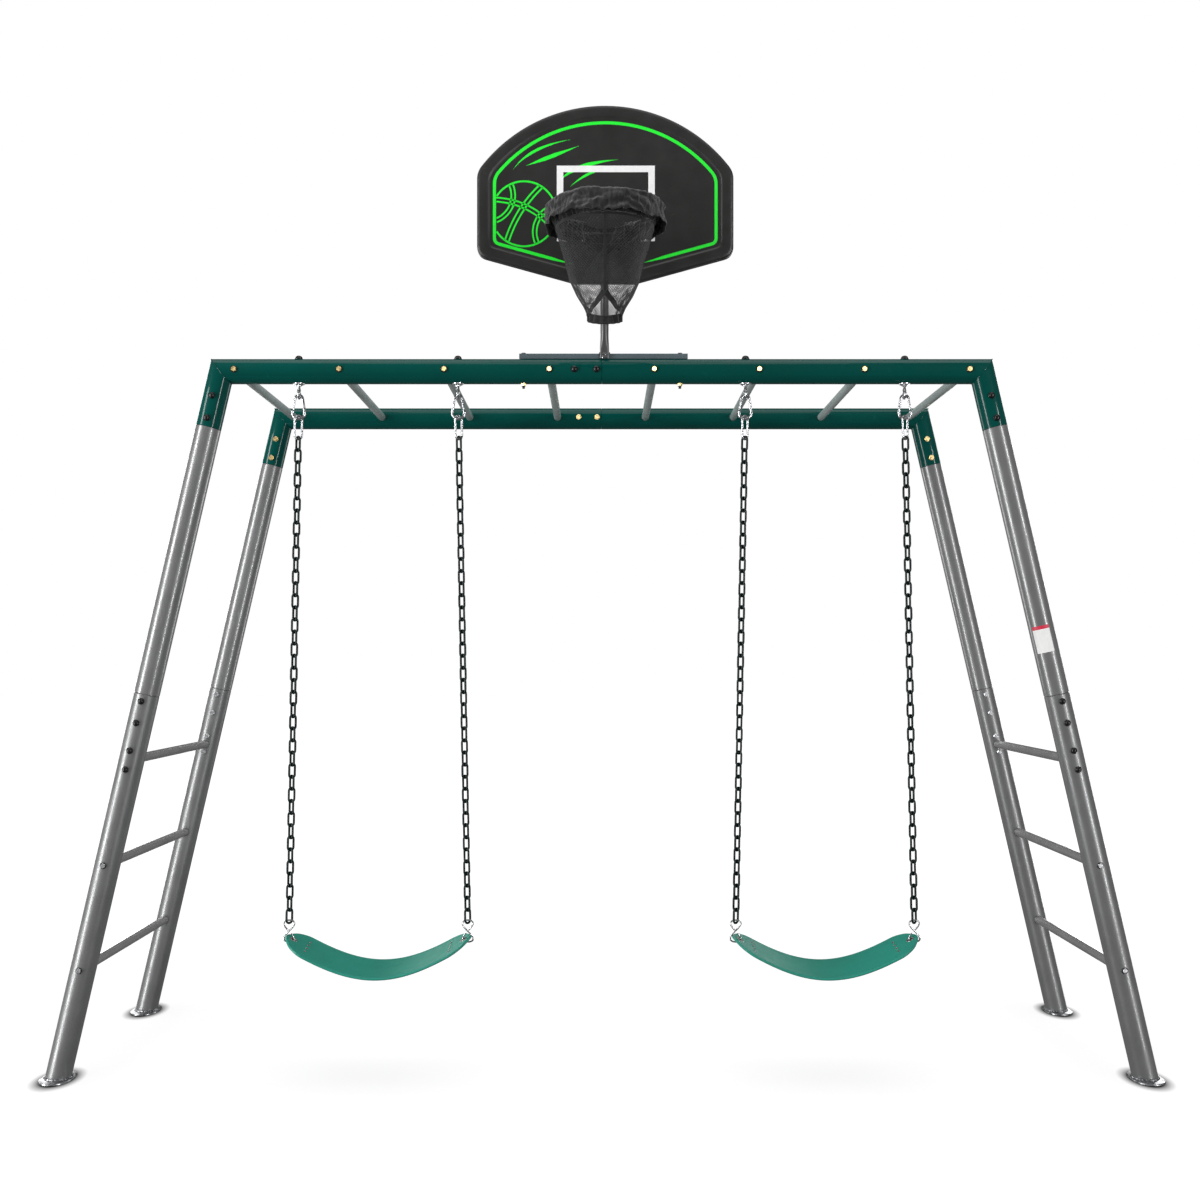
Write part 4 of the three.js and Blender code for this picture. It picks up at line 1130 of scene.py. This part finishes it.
def rim_sleeve():
    """One band of cloth folded over the rim, crumpled, with its lower edges hanging loose."""
    bm, profile = bmesh.new(), sleeve_profile()
    first, span = pi / 2 + SLEEVE_GAP, tau - 2 * SLEEVE_GAP
    band = [sleeve_column(bm, first + span * j / SLEEVE_STEPS, profile) for j in range(SLEEVE_STEPS + 1)]
    flap = []
    for j in range(FLAP_STEPS + 1):
        hang = FLAP_HANG * sin(pi * j / FLAP_STEPS) ** 2
        angle = pi / 2 + SLEEVE_GAP * (1 - 2 * j / FLAP_STEPS)
        flap.append(sleeve_column(bm, angle, profile[-19:], hang))
    for columns in (band, flap):
        for a, b in zip(columns, columns[1:]):
            for i in range(len(a) - 1):
                bm.faces.new((a[i], a[i + 1], b[i + 1], b[i]))
    piece = make("rim_cloth_sleeve", bm, CLOTH, ["rim_sleeve"], sharp=180)
    thick = piece.modifiers.new("thickness", "SOLIDIFY")
    thick.thickness = 0.0011
    thick.offset = 0


NET_PROFILE = [(0.1325, 2.3755), (0.1205, 2.33), (0.1075, 2.287), (0.0935, 2.232), (0.0745, 2.192),
               (0.0545, 2.160), (0.0445, 2.136), (0.0435, 2.123)]
NET_TOP, NET_FOOT = NET_PROFILE[0][1], NET_PROFILE[-1][1]
NET_DROP = NET_TOP - NET_FOOT
NET_THREADS, NET_ROWS, NET_TURN, YARN = 78, 46, 2.0, 0.00075
EXIT_HALF, EXIT_LOW, EXIT_TOP = 0.043, 2.143, 2.192


def net_radius(z):
    for (r0, z0), (r1, z1) in zip(NET_PROFILE, NET_PROFILE[1:]):
        if z >= z1:
            return r1 + (r0 - r1) * min(1.0, (z - z1) / (z0 - z1))
    return NET_PROFILE[-1][0]


def net_point(angle, z, off=0.0):
    """A place on the net, which is pleated below and flattened and sagging at its hem."""
    share = (NET_TOP - z) / NET_DROP
    spot = Vector((cos(angle) * 2, sin(angle) * 2, z * 9))
    pleat = 0.0022 * share * sin(angle * 14) + 0.003 * sin(share * pi) * noise.noise(spot)
    reach = net_radius(z) + pleat + off
    shallow = 1 - 0.45 * share ** 3
    sag = 0.014 * share ** 4 * max(0.0, -sin(angle)) ** 2
    return Vector((RIM_CENTER.x + reach * cos(angle),
                   RIM_CENTER.y + reach * shallow * sin(angle), z - sag))


def outward(point):
    return Vector((point.x - RIM_CENTER.x, point.y - RIM_CENTER.y, 0)).normalized()


def in_exit(point):
    open_half = EXIT_HALF * (EXIT_TOP - point.z) / (EXIT_TOP - EXIT_LOW)
    in_front = point.y < RIM_CENTER.y
    return in_front and EXIT_LOW - 0.01 < point.z < EXIT_TOP and abs(point.x - RIM_CENTER.x) < open_half


def net_thread(net, start, way):
    """One thread from rim to hem, left out where it would cross the exit."""
    run = []
    for j in range(NET_ROWS + 1):
        share = j / NET_ROWS
        angle = start + way * NET_TURN * (share + 0.25 * share * share)
        point = net_point(angle, NET_TOP - (NET_DROP - 0.008) * share)
        if not in_exit(point):
            run.append(point)
            continue
        if len(run) > 1:
            sweep(net, run, YARN, 4)
        run = []
    if len(run) > 1:
        sweep(net, run, YARN, 4)


def exit_edge(way):
    """The slanting edge of the exit, from below the hem to above the exit's peak."""
    edge = []
    for i in range(25):
        z = EXIT_LOW - 0.006 + (EXIT_TOP + 0.006 - EXIT_LOW) * i / 24
        half = EXIT_HALF * max(0.0, EXIT_TOP - z) / (EXIT_TOP - EXIT_LOW) + 0.002
        angle = -pi / 2 + way * asin(min(0.98, half / net_radius(z)))
        edge.append(net_point(angle, z, 0.0026))
    return edge


def net_webbing():
    """Hem, exit edges, front seam, side seams and collar."""
    webbing = bmesh.new()
    round_net = [tau * i / 120 for i in range(120)]
    hem = [net_point(angle, 2.133, 0.0012) for angle in round_net]
    ribbon(webbing, hem, [outward(p) for p in hem], 0.021, 0.0022, loop=True)
    for way in (-1, 1):
        edge = exit_edge(way)
        ribbon(webbing, edge, [outward(p) for p in edge], 0.0155, 0.002)
    seam = [net_point(-pi / 2, EXIT_TOP - 0.006 + (NET_TOP - EXIT_TOP) * i / 30, 0.0018)
            for i in range(31)]
    ribbon(webbing, seam, [FRONT] * 31, 0.0075, 0.0016)
    for angle in (0.0, pi):
        side = [net_point(angle, NET_FOOT + 0.01 + (NET_DROP - 0.012) * i / 40, 0.001) for i in range(41)]
        ribbon(webbing, side, [Vector((cos(angle), 0, 0))] * 41, 0.005, 0.0014)
    collar = [net_point(angle, NET_TOP - 0.003, 0.0008) for angle in round_net]
    ribbon(webbing, collar, [outward(p) for p in collar], 0.008, 0.0016, loop=True)
    return make("net_webbing", webbing, CLOTH)


def hoop_net():
    """Knitted mesh as crossing threads, gathered into a webbing hem, with a webbed exit in front."""
    net = bmesh.new()
    for way in (-1, 1):
        for i in range(NET_THREADS):
            net_thread(net, tau * i / NET_THREADS, way)
    net_piece = make("mesh_net", net, NET, ["hoop_net"], sharp=180)
    net_webbing()


def build_hoop():
    channel()
    channel_bolts()
    pole()
    pole_bolts()
    backboard()
    board_print()
    rim()
    rim_sleeve()
    hoop_net()


# ---------------------------------------------------------------- swings
EYE_R, EYE_WIRE = 0.010, 0.004
HOOK_WIRE, HOOK_TOP_R, HOOK_LOW_R = 0.004, 0.011, 0.0175
HOOK_TOP = -(EYE_R - EYE_WIRE - HOOK_WIRE - GAP)
HOOK_BOTTOM = HOOK_TOP - 0.068
LINK_WIRE = 0.00325
TOP_LINK_R, TOP_LINK_HEIGHT = 0.012, 0.0675
TOP_LINK_TOP = HOOK_BOTTOM + HOOK_WIRE + LINK_WIRE + 0.0015
CHAIN_TOP = TOP_LINK_TOP - TOP_LINK_HEIGHT + 2 * LINK_WIRE + 0.0006
CHAIN_LINKS, CHAIN_LINK_R = 40, 0.00925
S_TOP, S_HALF, S_SIDE, S_WIRE, S_OFFSET = 1.5135, 0.0315, 0.015, 0.0023, 0.0026
CHAIN_BOTTOM = -S_TOP - LINK_WIRE - S_WIRE - 0.003
CHAIN_PITCH = (CHAIN_TOP - CHAIN_BOTTOM - 2 * LINK_WIRE) / CHAIN_LINKS
CHAIN_SPREAD = 0.0285
GATE_START, GATE_END = 0.06, 0.84


def hung(name, bm, finish, place, node, body):
    """Makes a hook or link drawn at the origin as a piece at its place on a hanging line."""
    bm.transform(place)
    make(name, bm, finish, [node], body)


def oval(radius, height, center_z, turn):
    """The centre line of a closed link."""
    spin = Matrix.Rotation(turn, 3, "Z")
    return [spin @ Vector((u, 0, center_z + v)) for u, v in racetrack(radius, height / 2 - radius, 14)]


def hook_lines():
    top, low = HOOK_TOP - HOOK_TOP_R, HOOK_BOTTOM + HOOK_LOW_R
    tilt = asin((HOOK_LOW_R - HOOK_TOP_R) / (top - low))
    upper = Vector((HOOK_TOP_R * cos(tilt), 0, top + HOOK_TOP_R * sin(tilt)))
    lower = Vector((HOOK_LOW_R * cos(tilt), 0, low + HOOK_LOW_R * sin(tilt)))
    return top, low, tilt, upper, lower


def snap_hook():
    """The open ring: a wide bend below, a narrow one above, and a nose that meets the gate."""
    top, low, tilt, upper, lower = hook_lines()
    points = [lower.lerp(upper, GATE_START)]
    for i in range(31):
        a = tilt - (pi + 2 * tilt) * i / 30
        points.append(Vector((HOOK_LOW_R * cos(a), 0, low + HOOK_LOW_R * sin(a))))
    for i in range(25):
        a = pi - tilt - (pi - 2 * tilt) * i / 24
        points.append(Vector((HOOK_TOP_R * cos(a), 0, top + HOOK_TOP_R * sin(a))))
    points.append(lower.lerp(upper, GATE_END))
    radii = [HOOK_WIRE] * len(points)
    radii[0] = radii[-1] = HOOK_WIRE * 0.9
    bm = bmesh.new()
    sweep(bm, points, radii, 18)
    return bm


def snap_gate():
    """The sprung gate: a round bar with a pinned foot and a turned collar at its tip."""
    _, _, _, upper, lower = hook_lines()
    span = (upper - lower).length
    start = lower.lerp(upper, GATE_START + 0.002 / span)
    end = lower.lerp(upper, GATE_END - 0.0005 / span)
    length = (end - start).length
    bm = bmesh.new()
    revolve(bm, [(0, 0), (0.0026, 0), (0.0033, 0.0008), (0.0033, length - 0.006), (0.0028, length - 0.0055),
                 (0.0028, length - 0.0045), (0.0034, length - 0.004), (0.0034, length - 0.0006),
                 (0.0028, length), (0, length)], facing(start, (end - start).normalized()), 20)
    pin = start.lerp(end, 0.09)
    for way in (-1, 1):
        disc(bm, pin + Y_AXIS * way * 0.0028, Y_AXIS * way, 0.0016, 0.0012)
    return bm


def s_hook():
    center = -S_TOP - S_HALF
    points = []
    for i in range(81):
        turn = pi * (0.56 + 1.92 * i / 80)
        points.append(Vector((S_SIDE * sin(2 * turn), S_OFFSET * sin(turn),
                              center + S_HALF * cos(turn))))
    bm = bmesh.new()
    radii = [S_WIRE] * 81
    radii[0] = radii[-1] = S_WIRE * 0.7
    sweep(bm, points, radii, 14)
    return bm


def chain_of_links(seed):
    """Dipped links, each turned across the last; the dip leaves each a little fatter or thinner."""
    draw = random.Random(seed)
    bm = bmesh.new()
    height = CHAIN_PITCH + 2 * LINK_WIRE
    for i in range(CHAIN_LINKS):
        center = CHAIN_TOP - height / 2 - i * CHAIN_PITCH
        turn = radians(-45 if i % 2 == 0 else 45)
        path = oval(CHAIN_LINK_R, height, center, turn)
        fat = LINK_WIRE * draw.uniform(0.97, 1.05)
        radii = [fat * (1 + 0.05 * noise.noise(p * 120 + Vector((seed, i, 0)))) for p in path]
        sweep(bm, path, radii, 12, loop=True)
    return bm


def eye_bolt(name, place):
    """A forged eye whose shank runs up through the beam to a black cap nut, on a bright saddle."""
    bm = bmesh.new()
    sweep(bm, circle(place, Y_AXIS, Z_AXIS, EYE_R, 40), EYE_WIRE, 16, loop=True)
    top = BEAM_Z + TUBE_R
    revolve(bm, [(0, EYE_R + 0.001), (0.0056, EYE_R + 0.001), (0.0048, EYE_R + 0.006),
                 (0.004, EYE_R + 0.009),
                 (0.004, top + 0.010 - place.z), (0, top + 0.010 - place.z)],
            Matrix.Translation(place), 24)
    make(f"{name}_eye_bolt_steel", bm, HOOK, [f"{name}_eye_bolt"])
    saddle = bmesh.new()
    below = BEAM_Z - TUBE_R
    revolve(saddle, [(0.0042, below - 0.0052), (0.0085, below - 0.0052), (0.0105, below - 0.0036),
                     (0.0158, below - 0.0012), (0.0165, below + 0.0012), (0.0148, below + 0.0006),
                     (0.0095, below - 0.0018), (0.0042, below - 0.002)],
            Matrix.Translation((place.x, place.y, 0)), 40)
    hex_head(saddle, Vector((place.x, place.y, below - 0.0045)), DOWN, 0.0062, 0.0035)
    make(f"{name}_saddle_washer", saddle, ZINC)
    nut = bmesh.new()
    spot = Vector((place.x, place.y, top))
    disc(nut, spot - Z_AXIS * 0.0006, UP, 0.0125, 0.0016, 0.0042)
    dome_cap(nut, spot + Z_AXIS * 0.0016, UP, 0.0105, 0.0092)
    make(f"{name}_top_nut", nut, BLACK)


def hanging_line(side, hand, way):
    """Eye bolt, snap hook with its gate, top link, chain and S-hook, leaning out to the seat."""
    word = "outer" if way > 0 else "inner"
    name, hangers, chains = f"{hand}_{word}", f"{hand}_hangers", f"{hand}_chains"
    low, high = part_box(f"{name}_eye_bolt")
    eye = Vector(((low.x + high.x) / 2, FRONT_Y, low.z + EYE_R + EYE_WIRE))
    lean = Matrix.Rotation(-side * way * asin(CHAIN_SPREAD / (S_TOP + S_HALF)), 4, "Y")
    line = Matrix.Translation(eye) @ lean
    flip = line @ Matrix.Rotation(0 if side * way > 0 else pi, 4, "Z")
    eye_bolt(name, eye)
    hung(f"{name}_snap_hook_steel", snap_hook(), HOOK, flip, f"{name}_snap_hook", hangers)
    hung(f"{name}_snap_gate_steel", snap_gate(), HOOK, flip, f"{name}_snap_gate", f"{name}_gate")
    link = bmesh.new()
    path = oval(TOP_LINK_R, TOP_LINK_HEIGHT, TOP_LINK_TOP - TOP_LINK_HEIGHT / 2, pi / 4)
    sweep(link, path, LINK_WIRE, 16, loop=True)
    hung(f"{name}_top_link_steel", link, HOOK, line, f"{name}_top_link", hangers)
    chain = chain_of_links(10 + 2 * side + way)
    hung(f"{name}_dipped_chain", chain, CHAIN, line, f"{name}_chain", chains)
    hung(f"{name}_s_hook_wire", s_hook(), HOOK, flip, f"{name}_s_hook", chains)


SEAT_HALF, SEAT_WIDTH, SEAT_NOSE, SEAT_TAPER = 0.266, 0.160, 0.062, 0.062
SEAT_TIP, SEAT_PIVOT, SEAT_PITCH = 0.4115, 0.398, radians(7)
SEAT_THICK, SEAT_SAG, SEAT_HOLE_R, SEAT_INSET = 0.0065, 0.100, 0.007, 0.020


def seat_height(x):
    return SEAT_TIP - SEAT_SAG * cos(x / SEAT_HALF * pi / 2)


def seat_slope(x):
    return atan(SEAT_SAG * sin(x / SEAT_HALF * pi / 2) * pi / 2 / SEAT_HALF)


def seat_width(x):
    from_tip = SEAT_HALF - abs(x)
    width = SEAT_NOSE + (SEAT_WIDTH - SEAT_NOSE) * sin(min(from_tip / SEAT_TAPER, 1) * pi / 2)
    nose = min(1.0, max(0.0, from_tip) / 0.026)
    return width * max(0.3, sqrt(1 - (1 - nose) ** 2))


def seat_place(x, y, out, center):
    """A place on the belt: x along it and y across it, out from its middle plane."""
    slope = seat_slope(x)
    return Vector((center + x - out * sin(slope), FRONT_Y + y, seat_height(x) + out * cos(slope)))


def pitch(bm):
    """Tips the belt about the line through its two holes, with the front edge low."""
    pivot = Vector((0, FRONT_Y, SEAT_PIVOT))
    turn = Matrix.Rotation(SEAT_PITCH, 4, "X")
    bm.transform(Matrix.Translation(pivot) @ turn @ Matrix.Translation(-pivot))


BELT_HALF, BELT_ROLL, BELT_STEPS, BELT_FLATS = SEAT_THICK / 2 - 0.0004, 0.0037, 120, 9
RIVET_INSET, RIVET_Y = 0.060, (-0.036, -0.012, 0.012, 0.036)


def belt_section(edge):
    """The belt's section, as (across, out): two faces with a groove near each rolled edge."""
    section = []
    for way in (1, -1):
        groove = [(way * edge * 0.93, way * BELT_HALF), (way * edge * 0.945, way * (BELT_HALF - 0.0009)),
                  (way * edge * 0.96, way * BELT_HALF)]
        section += [(-u, v) for u, v in reversed(groove)]
        section += [(way * edge * 0.9 * (2 * j / BELT_FLATS - 1), way * BELT_HALF)
                    for j in range(BELT_FLATS + 1)]
        section += groove
        for j in range(9):
            a = pi / 2 - pi * j / 8
            section.append((way * (edge + BELT_ROLL * cos(a)), way * BELT_ROLL * sin(a)))
    return section


def grommet_profile():
    """A rolled steel eyelet through the belt, from its lower lip to its upper one."""
    upper = [(0.0012, BELT_HALF - 0.0004), (0.0046, BELT_HALF), (0.0038, BELT_HALF + 0.001),
             (0.0012, BELT_HALF + 0.0012), (0, BELT_HALF + 0.0004)]
    lower = [(r, -z) for r, z in reversed(upper)]
    return [(SEAT_HOLE_R + r, z) for r, z in lower + upper]


def seat(hand):
    """A rubber belt with rolled edges, tapered noses, steel grommets and small rivets."""
    center = middle(f"{hand}_swing_seat").x
    rings = []
    for i in range(BELT_STEPS + 1):
        x = SEAT_HALF * sin(pi / 2 * (2 * i / BELT_STEPS - 1))
        section = belt_section(seat_width(x) / 2 - BELT_ROLL)
        rings.append([seat_place(x, u, v, center) for u, v in section])
    belt, holes, grommets, rivets = (bmesh.new() for _ in range(4))
    loft(belt, rings)
    for end in (-1, 1):
        seat_steel(end, center, holes, grommets, rivets)
    for part in (belt, holes, grommets, rivets):
        pitch(part)
    piece = make(f"{hand}_belt_seat", belt, RUBBER, [f"{hand}_swing_seat"], f"{hand}_seat", sharp=50)
    cut_out(piece, holes)
    make(f"{hand}_seat_grommets", grommets, DARK_STEEL, body=f"{hand}_seat")
    make(f"{hand}_seat_rivets", rivets, DARK_STEEL, body=f"{hand}_seat")


def seat_steel(end, center, holes, grommets, rivets):
    """The hole and grommet at one end of the belt, and a row of rivets on both its faces."""
    x = end * (SEAT_HALF - SEAT_INSET)
    spot = seat_place(x, 0, 0, center)
    normal = seat_place(x, 0, 1, center) - spot
    solid_bar(holes, spot - normal * 0.02, spot + normal * 0.02, SEAT_HOLE_R + 0.0016)
    revolve(grommets, grommet_profile(), facing(spot, normal), 40)
    x = end * (SEAT_HALF - RIVET_INSET)
    for y in RIVET_Y:
        spot = seat_place(x, y, 0, center)
        normal = seat_place(x, y, 1, center) - spot
        for way in (-1, 1):
            dome_cap(rivets, spot + normal * way * (BELT_HALF - 0.0002), normal * way, 0.0034, 0.0012)


def build_swings():
    for side, hand in SIDES:
        for way in (-1, 1):
            hanging_line(side, hand, way)
        seat(hand)


# ---------------------------------------------------------------- stage, light and camera
GLOSSY_WORLD, DIFFUSE_WORLD = 0.13, 0.42


def area_light(name, place, target, size, power, linked=None):
    """A soft box; a linked collection says which objects it lights or passes over."""
    data = bpy.data.lights.new(name, "AREA")
    data.shape = "RECTANGLE"
    data.size, data.size_y = size
    data.energy = power
    light = bpy.data.objects.new(name, data)
    light.location = place
    light.rotation_euler = (Vector(target) - Vector(place)).to_track_quat("-Z", "Y").to_euler()
    light.visible_camera = False
    if linked:
        light.light_linking.receiver_collection = linked
    bpy.context.scene.collection.objects.link(light)


def build_floor():
    """A pale floor that neither mirrors in the tubes nor takes light from the side boxes."""
    bm = bmesh.new()
    bmesh.ops.create_grid(bm, x_segments=2, y_segments=2, size=40)
    mesh = bpy.data.meshes.new("floor")
    bm.to_mesh(mesh)
    bm.free()
    floor = bpy.data.objects.new("floor", mesh)
    floor.location.z = -0.0005
    floor.visible_glossy = floor.visible_shadow = False
    mesh.materials.append(white_card("floor_card"))
    bpy.context.scene.collection.objects.link(floor)
    return floor


def build_world():
    """White to the lens, dim in reflections, brighter for diffuse light."""
    world = bpy.data.worlds.new("studio")
    world.use_nodes = True
    nodes, links = world.node_tree.nodes, world.node_tree.links
    ray, background = nodes.new("ShaderNodeLightPath"), nodes["Background"]
    background.inputs["Color"].default_value = (1, 1, 1, 1)
    steps = []
    for output, level in (("Is Camera Ray", 1), ("Is Diffuse Ray", DIFFUSE_WORLD)):
        step = nodes.new("ShaderNodeMath")
        step.operation = "MULTIPLY_ADD"
        links.new(ray.outputs[output], step.inputs[0])
        step.inputs[1].default_value = level - GLOSSY_WORLD
        steps.append(step)
    steps[0].inputs[2].default_value = GLOSSY_WORLD
    links.new(steps[0].outputs[0], steps[1].inputs[2])
    links.new(steps[1].outputs[0], background.inputs["Strength"])
    bpy.context.scene.world = world
    bpy.context.scene.view_settings.view_transform = "Standard"


def build_stage():
    spared = bpy.data.collections.new("spared_by_side_lights")
    spared.objects.link(build_floor())
    spared.collection_objects[0].light_linking.link_state = "EXCLUDE"
    build_world()
    area_light("key_left", (-5.2, -2.7, 1.4), (-0.6, -0.1, 1.1), (1.3, 6.4), 420, spared)
    area_light("strip_right", (6.5, -6.8, 1.6), (0.3, 0, 1.2), (0.8, 6.6), 470, spared)
    area_light("top_fill", (0, -0.5, 6.5), (0, 0, 0), (6, 5), 150)
    area_light("back_left", (-4, 4.6, 1.6), (0, 0, 1.2), (1.6, 4.6), 110, spared)
    area_light("back_right", (4, 4.6, 1.6), (0, 0, 1.2), (1.6, 4.6), 110, spared)
    area_light("front_sparkle", (0.6, -5.5, 2.4), (0, 0, 1.6), (2.6, 2.6), 130, FASTENERS)


def build_camera():
    data = bpy.data.cameras.new("camera")
    data.lens = 39.06
    data.sensor_width = 36
    data.shift_y = 0.0508
    camera = bpy.data.objects.new("camera", data)
    camera.location = (-0.005, FRONT_Y - 3.75, 1.204)
    camera.rotation_euler = (pi / 2, 0, 0)
    bpy.context.scene.collection.objects.link(camera)
    bpy.context.scene.camera = camera


build_camera()
build_stage()
build_frame()
build_hoop()
build_swings()
